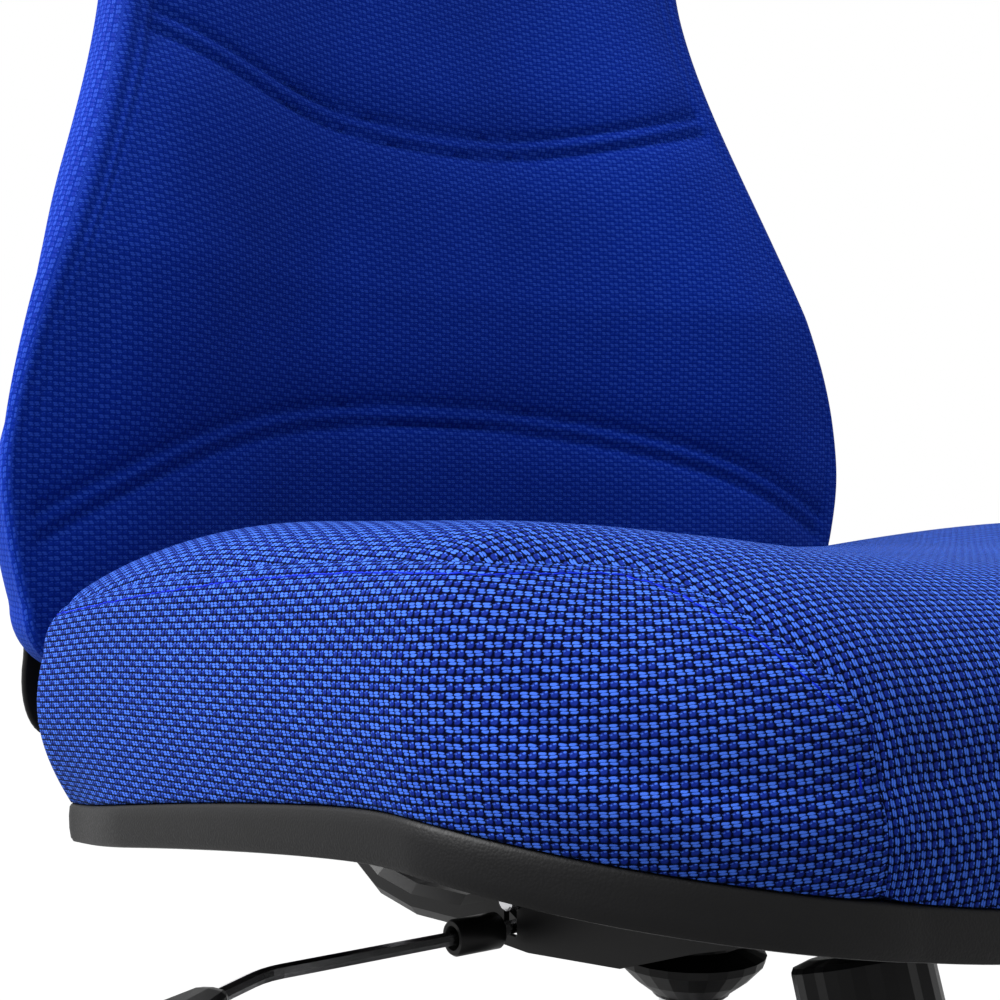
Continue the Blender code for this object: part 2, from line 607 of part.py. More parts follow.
def seat_shell():
    """A shallow tray: a flat floor, a haunch that rises to the side arches, and an upright rim."""
    heights = rim_z(seat_outline())
    flat = [SHELL_FLOOR_Z] * len(heights)
    haunch = shell_haunch(heights)
    rings = [seat_ring(0.55, flat), seat_ring(0.84, haunch), seat_ring(1.0, heights, 0.0, 0.0, REAR_TUCK),
             seat_ring(1.0, heights, RIM_HEIGHT, 0.0, REAR_TUCK),
             seat_ring(1.0, heights, RIM_HEIGHT, 0.004, REAR_TUCK), seat_ring(0.82, haunch, SHELL_WALL),
             seat_ring(0.53, flat, SHELL_WALL)]
    shell = make("seat_shell", rings, "black_plastic", at(0, *FRONT_PIN))
    for x, y in SEAT_BOLTS:
        hole = [(0.0034, -0.140), (0.0034, -0.110)]
        combine(shell, tool("bolt_hole", turned(hole, at(x, y, 0), sides=8)), "DIFFERENCE")
    settle(shell)


def seat_cushion():
    """The padding: it stands on the shell's rim, bulges a little and is dished in the middle."""
    heights = rim_z(seat_outline())
    count = len(heights)
    points = seat_outline()
    floor = [SHELL_FLOOR_Z + SHELL_WALL + 0.003] * count
    edge = []
    crest = []
    for x, y in points:
        front = smooth_step((-0.15 - y) / 0.09)
        fall = CREST_SLOPE * max(0.0, y - CREST_SLOPE_Y)
        edge.append(-0.020 - 0.030 * front - fall)
        crest.append(-0.004 - 0.010 * front - fall)
    middle = [z * 0.4 - 0.004 for z in crest]
    rings = [seat_ring(0.48, floor), seat_ring(0.80, shell_haunch(heights), SHELL_WALL + 0.0035),
             seat_ring(1.0, heights, RIM_HEIGHT + 0.0024, 0.006, REAR_TUCK),
             seat_ring(1.0, heights, RIM_HEIGHT + 0.0036, 0.001, REAR_TUCK),
             seat_ring(1.0, edge, -0.028, 0.0005), seat_ring(1.0, edge, 0.0, 0.006),
             seat_ring(1.0, crest, -0.003, 0.024),
             seat_ring(0.84, middle, 0.003), seat_ring(0.62, middle, -0.001), seat_ring(0.30, middle, -0.008)]
    make("seat_cushion", rings, "blue_fabric", at(0, *FRONT_PIN), fans=True)


# ---- back ----

def back_half_width(z):
    """Half the back's width at a height: widest beside the seat, a waist above, then the shoulders."""
    low = 0.255 - 0.072 * smooth_step((z - 0.015) / 0.300)
    wide = low + 0.016 * smooth_step((z - 0.30) / 0.15)
    below = max(0.0, 0.035 - z) / 0.102
    wide -= 0.022 * below ** 2
    round_top = max(0.0, (z - (BACK_TOP_Z - 0.120)) / 0.120)
    return wide * math.sqrt(max(1.0 - 0.92 * round_top ** 2.6, 0.0))


def back_centre_y(z):
    """Y of the front face on the centre line: a lumbar swell, then a gentle lean."""
    above = z - 0.120
    if above < 0.0:
        return 0.194 + 0.25 * above * above
    return 0.194 + 0.10 * above + 0.18 * above * above


def wing_reach(z):
    """How far the side wings come forward of the centre line."""
    return 0.055 - 0.040 * smooth_step((z - 0.06) / 0.32)


def back_front_y(x, z):
    share = abs(x) / back_half_width(z)
    return back_centre_y(z) - wing_reach(z) * smooth_step((share - 0.22) / 0.62)


def back_row(z, offset, widen=0.0):
    """Points across the back at a height, set back by an offset that thins towards the edges."""
    half = back_half_width(z) + widen
    row = []
    for i in range(-BACK_COLUMNS, BACK_COLUMNS + 1):
        share = i / BACK_COLUMNS
        x = half * share
        depth = offset * (1.0 - (1.0 - BACK_EDGE_THICKNESS / BACK_THICKNESS) * share * share)
        row.append((x, back_front_y(min(max(x, -half + widen), half - widen), z) + depth, z))
    return row


def slab_rings(rows, front, rear, ease, widen=0.0):
    """Rings of a slab that follows the back: the front face, the rear face, and edges eased off."""
    rings = []
    for z in rows:
        face = back_row(z, front, widen)
        tail = back_row(z, rear, widen)
        face[0] = (face[0][0], face[0][1] + ease, face[0][2])
        face[-1] = (face[-1][0], face[-1][1] + ease, face[-1][2])
        tail[0] = (tail[0][0], tail[0][1] - ease * 0.5, tail[0][2])
        tail[-1] = (tail[-1][0], tail[-1][1] - ease * 0.5, tail[-1][2])
        rings.append([at(*point) for point in face + tail[::-1]])
    return rings


def back_padding():
    make("back_cushion", slab_rings(BACK_ROWS, 0.0, BACK_THICKNESS, 0.008), "blue_fabric", at(0, *REAR_PIN))


def back_shell():
    front = BACK_THICKNESS + 0.0035
    rows = (BACK_ROWS[0] - BACK_SHELL_DROP,) + BACK_ROWS[:-1]
    rings = slab_rings(rows, front, front + BACK_SHELL_WALL, 0.0)
    shell = make("back_shell", rings, "black_plastic", at(0, *REAR_PIN))
    for x, z in BACK_BOLTS:
        hole = [(0.0034, -0.020), (0.0034, 0.020)]
        centre = at(x, CARRIER_FACE_Y, z)
        combine(shell, tool("bolt_hole", turned(hole, centre, (0, 1, 0), 8)), "DIFFERENCE")
    settle(shell)


def bar_front_y(z):
    return BAR_FRONT_Y + BAR_LEAN * (z - BAR_FRONT_Z)


def back_bar():
    """The J-shaped bar from the rear pin, under the seat and up behind the back."""
    thick, half = BAR_THICKNESS, BAR_HALF_WIDTH
    middle = [(0.088, -0.1800), (0.127, -0.1915), (0.172, -0.1940), (0.205, -0.1900), (0.234, -0.1760),
              (0.258, -0.1460), (0.274, -0.1060), (0.282, -0.0600), (bar_front_y(0.02) + thick / 2, 0.020),
              (bar_front_y(0.235) + thick / 2, 0.235)]
    rings = []
    for i, (y, z) in enumerate(middle):
        y1, z1 = middle[min(i + 1, len(middle) - 1)]
        y0, z0 = middle[max(i - 1, 0)]
        along = Vector((0, y1 - y0, z1 - z0)).normalized()
        normal = Vector((0, -along.z, along.y))
        ring = []
        ease = 0.004
        for a, b in ((-half + ease, -1), (half - ease, -1), (half, -0.4), (half, 0.4), (half - ease, 1),
                     (-half + ease, 1), (-half, 0.4), (-half, -0.4)):
            ring.append(at(a, y, z) + normal * b * thick / 2)
        rings.append(ring)
    bar = make("back_bar", rings, "black_steel", at(0, *REAR_PIN))
    x_in, x_out = 0.0195, 0.0265
    yoke = box_rings(at(-0.030, 0.0845, -0.1855), at(0.030, 0.1000, -0.160), 0.002)
    combine(bar, tool("yoke", yoke), "UNION")
    for side in (-1, 1):
        low = at(min(side * x_in, side * x_out), 0.044, -0.177)
        high = at(max(side * x_in, side * x_out), 0.090, -0.158)
        combine(bar, tool("fork", box_rings(low, high, 0.001)), "UNION")
    hole = [(PIN_RADIUS + GAP, -0.080), (PIN_RADIUS + GAP, 0.080)]
    combine(bar, tool("pin_hole", turned(hole, at(0, *REAR_PIN), (1, 0, 0))), "DIFFERENCE")
    settle(bar)


def back_carrier():
    """A sleeve round the upright that carries the back and slides up it, with a flange for two bolts."""
    clear = 0.0008
    wall = 0.005
    rings = []
    inside_out = ((CARRIER_LOW_Z, 0.0), (CARRIER_LOW_Z, wall), (CARRIER_HIGH_Z, wall), (CARRIER_HIGH_Z, 0.0))
    for z, grow in inside_out:
        x = BAR_HALF_WIDTH + clear + grow
        front = bar_front_y(z) - clear - grow
        rear = bar_front_y(z) + BAR_THICKNESS * math.hypot(1, BAR_LEAN) + clear + grow
        outline = [(-x + 0.002, front), (x - 0.002, front), (x, front + 0.002), (x, rear - 0.002),
                   (x - 0.002, rear), (-x + 0.002, rear), (-x, rear - 0.002), (-x, front + 0.002)]
        rings.append([at(a, b, z) for a, b in outline])
    sleeve = make("back_carrier", rings, "black_plastic", at(0, *REAR_PIN), closed=True)
    flange = box_rings(at(-0.062, CARRIER_FACE_Y + 0.0045, CARRIER_LOW_Z + 0.004),
                       at(0.062, CARRIER_FACE_Y + 0.0105, CARRIER_HIGH_Z - 0.004), 0.002)
    combine(sleeve, tool("flange", flange), "UNION")
    block = [(bar_front_y(CARRIER_LOW_Z) - 0.003, CARRIER_LOW_Z),
             (bar_front_y(CARRIER_HIGH_Z) - 0.003, CARRIER_HIGH_Z),
             (CARRIER_FACE_Y + 0.006, CARRIER_HIGH_Z - 0.006), (CARRIER_FACE_Y + 0.006, CARRIER_LOW_Z)]
    combine(sleeve, tool("block", side_rings(block, -0.030, 0.030)), "UNION")
    for x, z in BACK_BOLTS:
        hole = [(0.0034, -0.010), (0.0034, 0.030)]
        centre = at(x, CARRIER_FACE_Y, z)
        combine(sleeve, tool("bolt_hole", turned(hole, centre, (0, 1, 0), 8)), "DIFFERENCE")
    settle(sleeve)


def back_bolts():
    for index, (x, z) in enumerate(BACK_BOLTS):
        centre = at(x, CARRIER_FACE_Y, z)
        profile = [(0.0030, -0.0012), (0.0030, 0.0108), (0.0064, 0.0108), (0.0064, 0.0150)]
        make("back_bolt_" + str(index + 1), turned(profile, centre, (0, 1, 0), 6), "bright_steel", centre)


def build():
    clear_scene()
    star_base()
    castors()
    gas_lift()
    mechanism_housing()
    pins()
    tension_set()
    levers()
    seat_bracket()
    seat_bolts()
    seat_shell()
    seat_cushion()
    back_padding()
    back_shell()
    back_bar()
    back_carrier()
    back_bolts()


build()
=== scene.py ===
"""Swivel office chair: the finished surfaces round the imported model. Metres, +Z up, the sitter faces -Y."""
import json
import math

import bpy
import bmesh
import numpy as np
from mathutils import Euler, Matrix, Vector

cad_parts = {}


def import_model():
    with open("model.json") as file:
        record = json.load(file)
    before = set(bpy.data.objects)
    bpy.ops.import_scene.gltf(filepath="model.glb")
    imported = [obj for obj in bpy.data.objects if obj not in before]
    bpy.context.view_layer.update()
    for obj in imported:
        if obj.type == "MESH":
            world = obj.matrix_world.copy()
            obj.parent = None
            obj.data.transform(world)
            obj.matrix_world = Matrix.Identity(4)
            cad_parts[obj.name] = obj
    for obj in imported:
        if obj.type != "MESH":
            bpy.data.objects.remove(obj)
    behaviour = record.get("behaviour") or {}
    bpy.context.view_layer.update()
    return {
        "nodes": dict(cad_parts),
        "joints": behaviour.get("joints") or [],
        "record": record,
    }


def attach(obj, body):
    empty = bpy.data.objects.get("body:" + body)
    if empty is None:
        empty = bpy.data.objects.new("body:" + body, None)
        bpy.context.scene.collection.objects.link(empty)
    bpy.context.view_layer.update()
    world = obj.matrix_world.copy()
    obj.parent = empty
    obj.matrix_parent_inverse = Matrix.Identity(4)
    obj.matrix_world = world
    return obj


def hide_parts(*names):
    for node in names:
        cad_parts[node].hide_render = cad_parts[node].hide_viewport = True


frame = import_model()

JOINTS = {joint["name"]: joint for joint in frame["joints"]}
LIFT_Y = JOINTS["swivel"]["pos_m"][1]              # the gas lift's axis
CREST_Z = JOINTS["seat_tilt"]["pos_m"][2] + 0.140  # highest line of the seat padding

# ---- mesh making ----


def smooth_step(t):
    """0 to 1 with level ends: 3t^2 - 2t^3."""
    t = np.clip(t, 0.0, 1.0)
    return t * t * (3.0 - 2.0 * t)


def world(x, y, z):
    """Points counted from the lift's axis and the seat crest, stacked into world points."""
    return np.stack(np.broadcast_arrays(x, LIFT_Y + y, CREST_Z + z), axis=-1)


def finish_piece(name, points, faces, body, surface, smooth_angle=40.0, replaces=()):
    """A mesh from points and faces, with its material and smooth shading, on its body."""
    mesh = bpy.data.meshes.new(name)
    mesh.from_pydata(points.tolist(), [], faces)
    mesh.validate()
    mesh.update()
    piece = bpy.data.objects.new(name, mesh)
    bpy.context.scene.collection.objects.link(piece)
    mesh.materials.append(surface)
    mesh.shade_smooth()
    mesh.set_sharp_from_angle(angle=math.radians(smooth_angle))
    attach(piece, body)
    if replaces:
        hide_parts(*replaces)
    return piece


def grid_faces(rows, columns, wrap):
    """Four-sided faces between neighbouring rows and columns, and their corners in the maps' wider grid."""
    row, column = np.meshgrid(np.arange(rows - 1), np.arange(columns if wrap else columns - 1), indexing="ij")
    row, column = row.ravel(), column.ravel()
    corners = np.stack([row, row, row + 1, row + 1]), np.stack([column, column + 1, column + 1, column])
    wide = columns + 1 if wrap else columns
    in_uv = (corners[0] * wide + corners[1]).T
    in_mesh = (corners[0] * columns + corners[1] % columns).T
    return in_mesh, in_uv


def volume_of(points, faces):
    """Signed volume under a set of faces, as the sum of the tetrahedra to the origin."""
    total = 0.0
    for face in (faces[:, [0, 1, 2]], faces[:, [0, 2, 3]]):
        a, b, c = points[face[:, 0]], points[face[:, 1]], points[face[:, 2]]
        total += np.einsum("ij,ij->i", a, np.cross(b, c)).sum() / 6.0
    return total


def skin(name, grid, body, surface, wrap=False, poles=(False, False), maps=None, marks=None,
         smooth_angle=40.0, replaces=()):
    """A surface over a grid of points (rows, columns). With wrap, the last column joins the first. Each pole
    closes its end row with a fan to the row's centre. Maps are UV layers over the grid (one column wider when
    wrapped), and marks are numbers per point."""
    rows, columns = grid.shape[:2]
    points = grid.reshape(-1, 3)
    faces, in_uv = grid_faces(rows, columns, wrap)
    flip = False
    if wrap:
        centred = points - points.mean(axis=0)
        flip = volume_of(centred, faces) < 0.0
    fans = []
    extra = []
    for end, wanted in ((0, poles[0]), (rows - 1, poles[1])):
        if not wanted:
            continue
        centre = len(points) + len(extra)
        extra.append(grid[end].mean(axis=0))
        ring = end * columns + np.arange(columns)
        ahead = np.roll(ring, -1)
        fan = np.stack([ahead, ring, np.full(columns, centre)], 1)
        fans.append(fan if end == 0 else fan[:, ::-1])
    every = faces.tolist()
    for fan in fans:
        every += fan.tolist()
    if flip:
        every = [face[::-1] for face in every]
    if extra:
        points = np.vstack([points, extra])
    piece = finish_piece(name, points, every, body, surface, smooth_angle, replaces)
    mesh = piece.data
    for layer_name, values in (maps or {}).items():
        layer = mesh.uv_layers.new(name=layer_name)
        loops = values.reshape(-1, 2)[in_uv[:, ::-1] if flip else in_uv].reshape(-1, 2)
        flat = np.zeros((len(mesh.loops), 2))
        flat[:len(loops)] = loops
        layer.data.foreach_set("uv", flat.ravel())
    for mark, values in (marks or {}).items():
        attribute = mesh.attributes.new(mark, "FLOAT", "POINT")
        flat = np.zeros(len(mesh.vertices))
        flat[:rows * columns] = values.ravel()
        attribute.data.foreach_set("value", flat)
    return piece


def turned(profile, centre, axis=(0.0, 0.0, 1.0), sides=48):
    """A grid for a turned piece: each (radius, height) of the profile swept round an axis at a centre."""
    radius, height = np.array(profile).T
    angle = np.linspace(0.0, math.tau, sides, endpoint=False)
    local = np.stack([radius[:, None] * np.cos(angle), radius[:, None] * np.sin(angle),
                      np.broadcast_to(height[:, None], (len(radius), sides))], -1)
    turn = np.array(Vector((0, 0, 1)).rotation_difference(Vector(axis)).to_matrix())
    return local @ turn.T + np.array(centre)


def along_path(path, section):
    """A grid for a profile carried along a path: each section point (across, rise) lies square to it."""
    tangent = np.gradient(path, axis=0)
    tangent /= np.linalg.norm(tangent, axis=1, keepdims=True)
    across = np.cross(tangent, np.array([0.0, 0.0, 1.0]))
    across /= np.linalg.norm(across, axis=1, keepdims=True)
    rise = np.cross(across, tangent)
    return path[:, None] + across[:, None] * section[..., :1] + rise[:, None] * section[..., 1:]


def circle(radius, sides):
    angle = np.linspace(0.0, math.tau, sides, endpoint=False)
    return np.stack([radius * np.cos(angle), radius * np.sin(angle)], -1)


def resample(points, count, closed=False):
    """Points at even distances along a polyline."""
    if closed:
        points = np.vstack([points, points[:1]])
    run = np.concatenate([[0.0], np.cumsum(np.linalg.norm(np.diff(points, axis=0), axis=1))])
    at = np.linspace(0.0, run[-1], count + 1)[:-1] if closed else np.linspace(0.0, run[-1], count)
    return np.stack([np.interp(at, run, points[:, k]) for k in range(points.shape[1])], -1)


# ---- shader groups and materials ----


class Net:
    """Short calls for placing and joining shader nodes in one tree."""

    def __init__(self, tree):
        self.tree = tree

    def node(self, kind, **settings):
        made = self.tree.nodes.new(kind)
        for key, value in settings.items():
            setattr(made, key, value)
        return made

    def put(self, socket, value):
        if isinstance(value, bpy.types.NodeSocket):
            self.tree.links.new(value, socket)
        else:
            socket.default_value = value

    def math(self, operation, a, b=0.0, c=0.0, clamp=False):
        made = self.node("ShaderNodeMath", operation=operation, use_clamp=clamp)
        for socket, value in zip(made.inputs, (a, b, c)):
            self.put(socket, value)
        return made.outputs[0]

    def ramp(self, value, low, high, to_low=0.0, to_high=1.0):
        made = self.node("ShaderNodeMapRange", interpolation_type="SMOOTHSTEP")
        for socket, number in zip(made.inputs, (value, low, high, to_low, to_high)):
            self.put(socket, number)
        return made.outputs[0]

    def mix(self, share, a, b):
        made = self.node("ShaderNodeMix", data_type="RGBA")
        for socket, value in ((made.inputs[0], share), (made.inputs[6], a), (made.inputs[7], b)):
            self.put(socket, value)
        return made.outputs[2]

    def blend(self, share, a, b):
        """A number between two others."""
        made = self.node("ShaderNodeMix", data_type="FLOAT")
        for index, value in ((0, share), (2, a), (3, b)):
            self.put(made.inputs[index], value)
        return made.outputs[0]

    def noise(self, vector, scale, detail=2.0, roughness=0.5):
        made = self.node("ShaderNodeTexNoise")
        self.put(made.inputs["Vector"], vector)
        self.put(made.inputs["Scale"], scale)
        made.inputs["Detail"].default_value = detail
        made.inputs["Roughness"].default_value = roughness
        return made.outputs[0]

    def bump(self, height, strength, distance):
        made = self.node("ShaderNodeBump")
        self.put(made.inputs["Height"], height)
        made.inputs["Strength"].default_value = strength
        made.inputs["Distance"].default_value = distance
        return made.outputs[0]


def group(name, inputs, outputs):
    """A new node group with named sockets: each input is (name, kind, default)."""
    tree = bpy.data.node_groups.new(name, "ShaderNodeTree")
    for socket_name, kind, default in inputs:
        made = tree.interface.new_socket(socket_name, in_out="INPUT", socket_type="NodeSocket" + kind)
        if default is not None:
            made.default_value = default
    for socket_name, kind in outputs:
        tree.interface.new_socket(socket_name, in_out="OUTPUT", socket_type="NodeSocket" + kind)
    net = Net(tree)
    return net, net.node("NodeGroupInput"), net.node("NodeGroupOutput")


def placed(net, tree, **values):
    """A group placed in a tree, its inputs set by name (spaces written as underscores)."""
    made = net.node("ShaderNodeGroup", node_tree=tree)
    for key, value in values.items():
        net.put(made.inputs[key.replace("_", " ")], value)
    return made


CELL_WIDTH = 0.00256       # one cell of the cloth across the strands' pairs
CELL_HEIGHT = 0.0022


def weave_group():
    """The two-yarn cloth. Cells go in pairs, and every other row is set one pair on. A bright cell shows two
    short level strands, the upper one set back and the lower one set on, with painted shading that leaves them
    lighter along their middles; a dull cell shows one upright strand whose knot at its head and small spur
    carry a painted highlight; holes lie between cells, which the cloth paints near-black as shade. Along and
    Across are lengths in metres."""
    net, given, gives = group("woven_cloth", [("Along", "Float", 0.0), ("Across", "Float", 0.0)],
                              [("Bright", "Float"), ("Yarn", "Float"), ("Height", "Float")])
    where = net.node("ShaderNodeCombineXYZ")
    net.put(where.inputs[0], given.outputs["Along"])
    net.put(where.inputs[1], given.outputs["Across"])
    drift = net.math("SUBTRACT", net.noise(where.outputs[0], 260.0, 2.0), 0.5)
    drift_b = net.math("SUBTRACT", net.noise(where.outputs[0], 390.0, 2.0), 0.5)
    px = net.math("ADD", net.math("DIVIDE", given.outputs["Along"], CELL_WIDTH),
                  net.math("MULTIPLY", drift, 0.30))
    py = net.math("ADD", net.math("DIVIDE", given.outputs["Across"], CELL_HEIGHT),
                  net.math("MULTIPLY", drift_b, 0.30))
    i, j = net.math("FLOOR", px), net.math("FLOOR", py)
    a = net.math("SUBTRACT", net.math("SUBTRACT", px, i), 0.5)
    b = net.math("SUBTRACT", net.math("SUBTRACT", py, j), 0.5)
    pair = net.math("ADD", net.math("FLOOR", net.math("MULTIPLY", i, 0.5)), j)
    dull = net.math("MULTIPLY", net.math("FRACT", net.math("MULTIPLY", pair, 0.5)), 2.0)
    cell = net.node("ShaderNodeCombineXYZ")
    net.put(cell.inputs[0], i)
    net.put(cell.inputs[1], j)
    chance = net.node("ShaderNodeTexWhiteNoise", noise_dimensions="2D")
    net.put(chance.inputs["Vector"], cell.outputs[0])

    def mound(centre_a, centre_b, half_a, half_b):
        """1 in the middle of a strand, falling to 0 past its half length and half thickness."""
        along = net.math("POWER", net.math("ABSOLUTE", net.math("DIVIDE", centre_a, half_a)), 3.0)
        across = net.math("POWER", net.math("ABSOLUTE", net.math("DIVIDE", centre_b, half_b)), 2.0)
        return net.ramp(net.math("ADD", along, across), 1.5, 0.25)

    stagger = net.math("MULTIPLY_ADD", net.math("SIGN", b), 0.085, a)
    level = mound(stagger, net.math("SUBTRACT", net.math("ABSOLUTE", b), 0.180), 0.46, 0.205)
    upright = mound(net.math("ADD", a, -0.02), net.math("ADD", b, 0.03), 0.40, 0.44)
    highlit_knot = mound(net.math("ADD", a, -0.15), net.math("ADD", b, -0.31), 0.17, 0.12)
    highlit_spur = mound(net.math("ADD", a, 0.30), net.math("ADD", b, -0.14), 0.20, 0.10)
    highlit_knot = net.math("MAXIMUM", highlit_knot, net.math("MULTIPLY", highlit_spur, 0.6))
    yarn = net.blend(dull, level, net.math("MAXIMUM", upright, highlit_knot))
    # Bright carries painted light: level strands lighter along their middles as painted shading, and a painted
    # highlight on each upright strand's knot and spur; the cell's chance adds a random tone.
    tone = net.blend(dull, net.math("MULTIPLY_ADD", level, 0.35, 0.65),
                     net.math("MULTIPLY_ADD", highlit_knot, 0.85, 0.10))
    tone = net.math("MULTIPLY", tone, net.math("MULTIPLY_ADD", chance.outputs["Value"], 0.45, 0.75))
    net.put(gives.inputs["Bright"], tone)
    net.put(gives.inputs["Yarn"], yarn)
    net.put(gives.inputs["Height"], yarn)
    return net.tree


def grain_group():
    """The fine pebbled grain of moulded plastic: a height from soft cells, and a broad change of tone."""
    net, given, gives = group("moulded_grain", [("Vector", "Vector", None), ("Size", "Float", 900.0)],
                              [("Height", "Float"), ("Tone", "Float")])
    cells = net.node("ShaderNodeTexVoronoi", feature="SMOOTH_F1")
    net.put(cells.inputs["Vector"], given.outputs["Vector"])
    net.put(cells.inputs["Scale"], given.outputs["Size"])
    cells.inputs["Smoothness"].default_value = 0.6
    soft = net.noise(given.outputs["Vector"], 60.0, 3.0)
    net.put(gives.inputs["Height"], net.math("SUBTRACT", 1.0, cells.outputs["Distance"]))
    net.put(gives.inputs["Tone"], soft)
    return net.tree


def edge_wear_and_highlight_group():
    """Rubbed edges and a painted edge highlight: the mesh's pointed places, broken up by noise."""
    net, given, gives = group("edge_wear_and_highlight", [("Vector", "Vector", None), ("Amount", "Float", 0.3)],
                              [("Mask", "Float")])
    geometry = net.node("ShaderNodeNewGeometry")
    edge = net.ramp(geometry.outputs["Pointiness"], 0.52, 0.62)
    broken = net.ramp(net.noise(given.outputs["Vector"], 240.0, 4.0), 0.35, 0.65)
    mask = net.math("MULTIPLY", edge, net.math("MULTIPLY_ADD", broken, 0.7, 0.3))
    net.put(gives.inputs["Mask"], net.math("MULTIPLY", mask, given.outputs["Amount"]))
    return net.tree


WEAVE = weave_group()
GRAIN = grain_group()
EDGE_WEAR_AND_HIGHLIGHT = edge_wear_and_highlight_group()


def new_material(name, **constants):
    """A material with a Principled shader whose plain values are set on its own sockets."""
    made = bpy.data.materials.new(name)
    made.use_nodes = True
    net = Net(made.node_tree)
    shader = made.node_tree.nodes["Principled BSDF"]
    for key, value in constants.items():
        shader.inputs[key.replace("_", " ")].default_value = value
    return made, net, shader


def uv(net, layer):
    """The two numbers of a named UV layer."""
    split = net.node("ShaderNodeSeparateXYZ")
    net.put(split.inputs[0], net.node("ShaderNodeUVMap", uv_map=layer).outputs[0])
    return split.outputs[0], split.outputs[1]


BRIGHT_YARN = (0.024, 0.070, 0.340, 1.0)
DULL_YARN = (0.0003, 0.0025, 0.075, 1.0)
# Painted shade: the near-black colour of the holes between strands.
PAINTED_HOLE_SHADE = (0.0001, 0.0003, 0.006, 1.0)
CLOTH_MEAN = (0.0008, 0.0110, 0.155, 1.0)


def cloth_material(name, two_panels, relief, contrast):
    """Blue cloth. With two panels, the signed distance to the seam picks which layer's cloth is seen, and the
    top panel's strands run the other way."""
    made, net, shader = new_material(name, Sheen_Weight=0.04, Sheen_Roughness=0.35,
                                     Sheen_Tint=(0.15, 0.40, 1.0, 1.0), Specular_IOR_Level=0.02)
    along, across = uv(net, "side_cloth")
    if two_panels:
        seam = net.node("ShaderNodeAttribute", attribute_name="seam").outputs["Fac"]
        top_along, top_across = uv(net, "top_cloth")
        on_side = net.math("GREATER_THAN", seam, 0.0)
        along = net.blend(on_side, top_along, along)
        across = net.blend(on_side, top_across, across)
    weave = placed(net, WEAVE, Along=along, Across=across)
    coords = net.node("ShaderNodeTexCoord").outputs["Object"]
    blotch = net.noise(coords, 14.0, 3.0)
    fibre = net.noise(coords, 1500.0, 2.0)
    bright = net.math("MULTIPLY", weave.outputs["Bright"], net.math("MULTIPLY_ADD", fibre, 0.5, 0.75))
    yarn = net.mix(bright, DULL_YARN, BRIGHT_YARN)
    # The holes between the strands are painted near-black as shade.
    colour = net.mix(net.math("SUBTRACT", 1.0, weave.outputs["Yarn"]), yarn, PAINTED_HOLE_SHADE)
    colour = net.mix(contrast, CLOTH_MEAN, colour)
    shade = net.node("ShaderNodeHueSaturation")
    net.put(shade.inputs["Color"], colour)
    net.put(shade.inputs["Value"], net.math("MULTIPLY_ADD", blotch, 0.30, 0.85))
    net.put(shader.inputs["Base Color"], shade.outputs[0])
    net.put(shader.inputs["Roughness"], net.math("MULTIPLY_ADD", weave.outputs["Yarn"], -0.25, 0.95))
    height = net.math("MULTIPLY_ADD", fibre, 0.12, weave.outputs["Height"])
    net.put(shader.inputs["Normal"], net.bump(height, relief, 0.0005))
    return made


def plastic_material(name, colour, roughness, grain_size, grain_depth, wear_and_glint=0.15):
    """Black moulded plastic: pebbled grain, a little tone change, and pointed edges tinted towards dark grey,
    partly rubbed wear and partly a painted highlight.
    """
    made, net, shader = new_material(name, Specular_IOR_Level=0.10)
    coords = net.node("ShaderNodeTexCoord").outputs["Object"]
    grain = placed(net, GRAIN, Vector=coords, Size=grain_size)
    rub_and_glint = placed(net, EDGE_WEAR_AND_HIGHLIGHT, Vector=coords, Amount=wear_and_glint)
    tone = net.mix(net.math("MULTIPLY", grain.outputs["Tone"], 0.8), colour,
                   tuple(c * 1.7 for c in colour[:3]) + (1.0,))
    # Pointed edges mixed towards dark grey: rubbed wear and a painted edge highlight.
    worn_and_glint = net.mix(rub_and_glint.outputs["Mask"], tone, (0.018, 0.018, 0.020, 1.0))
    net.put(shader.inputs["Base Color"], worn_and_glint)
    scatter = net.math("MULTIPLY_ADD", grain.outputs["Height"], 0.15, roughness - 0.08)
    net.put(shader.inputs["Roughness"], scatter)
    net.put(shader.inputs["Normal"], net.bump(grain.outputs["Height"], grain_depth, 0.0002))
    return made


def steel_material(name, colour, roughness, metallic=1.0, streak=0.12):
    """Metal: fine scatter in its gloss and slight waves in its face."""
    made, net, shader = new_material(name, Metallic=metallic, Specular_IOR_Level=0.12)
    coords = net.node("ShaderNodeTexCoord").outputs["Object"]
    fine = net.noise(coords, 420.0, 4.0)
    broad = net.noise(coords, 26.0, 2.0)
    rub_and_glint = placed(net, EDGE_WEAR_AND_HIGHLIGHT, Vector=coords, Amount=0.25)
    tone = net.mix(broad, tuple(c * 0.85 for c in colour[:3]) + (1.0,), colour)
    # Pointed edges lighter in colour: rubbed wear and a painted edge highlight.
    net.put(shader.inputs["Base Color"], net.mix(net.math("MULTIPLY", rub_and_glint.outputs["Mask"], 0.3), tone,
                                                 tuple(min(0.70, c * 2.0) for c in colour[:3]) + (1.0,)))
    net.put(shader.inputs["Roughness"], net.math("MULTIPLY_ADD", fine, streak, roughness - streak / 2))
    net.put(shader.inputs["Normal"], net.bump(fine, 0.05, 0.0002))
    return made


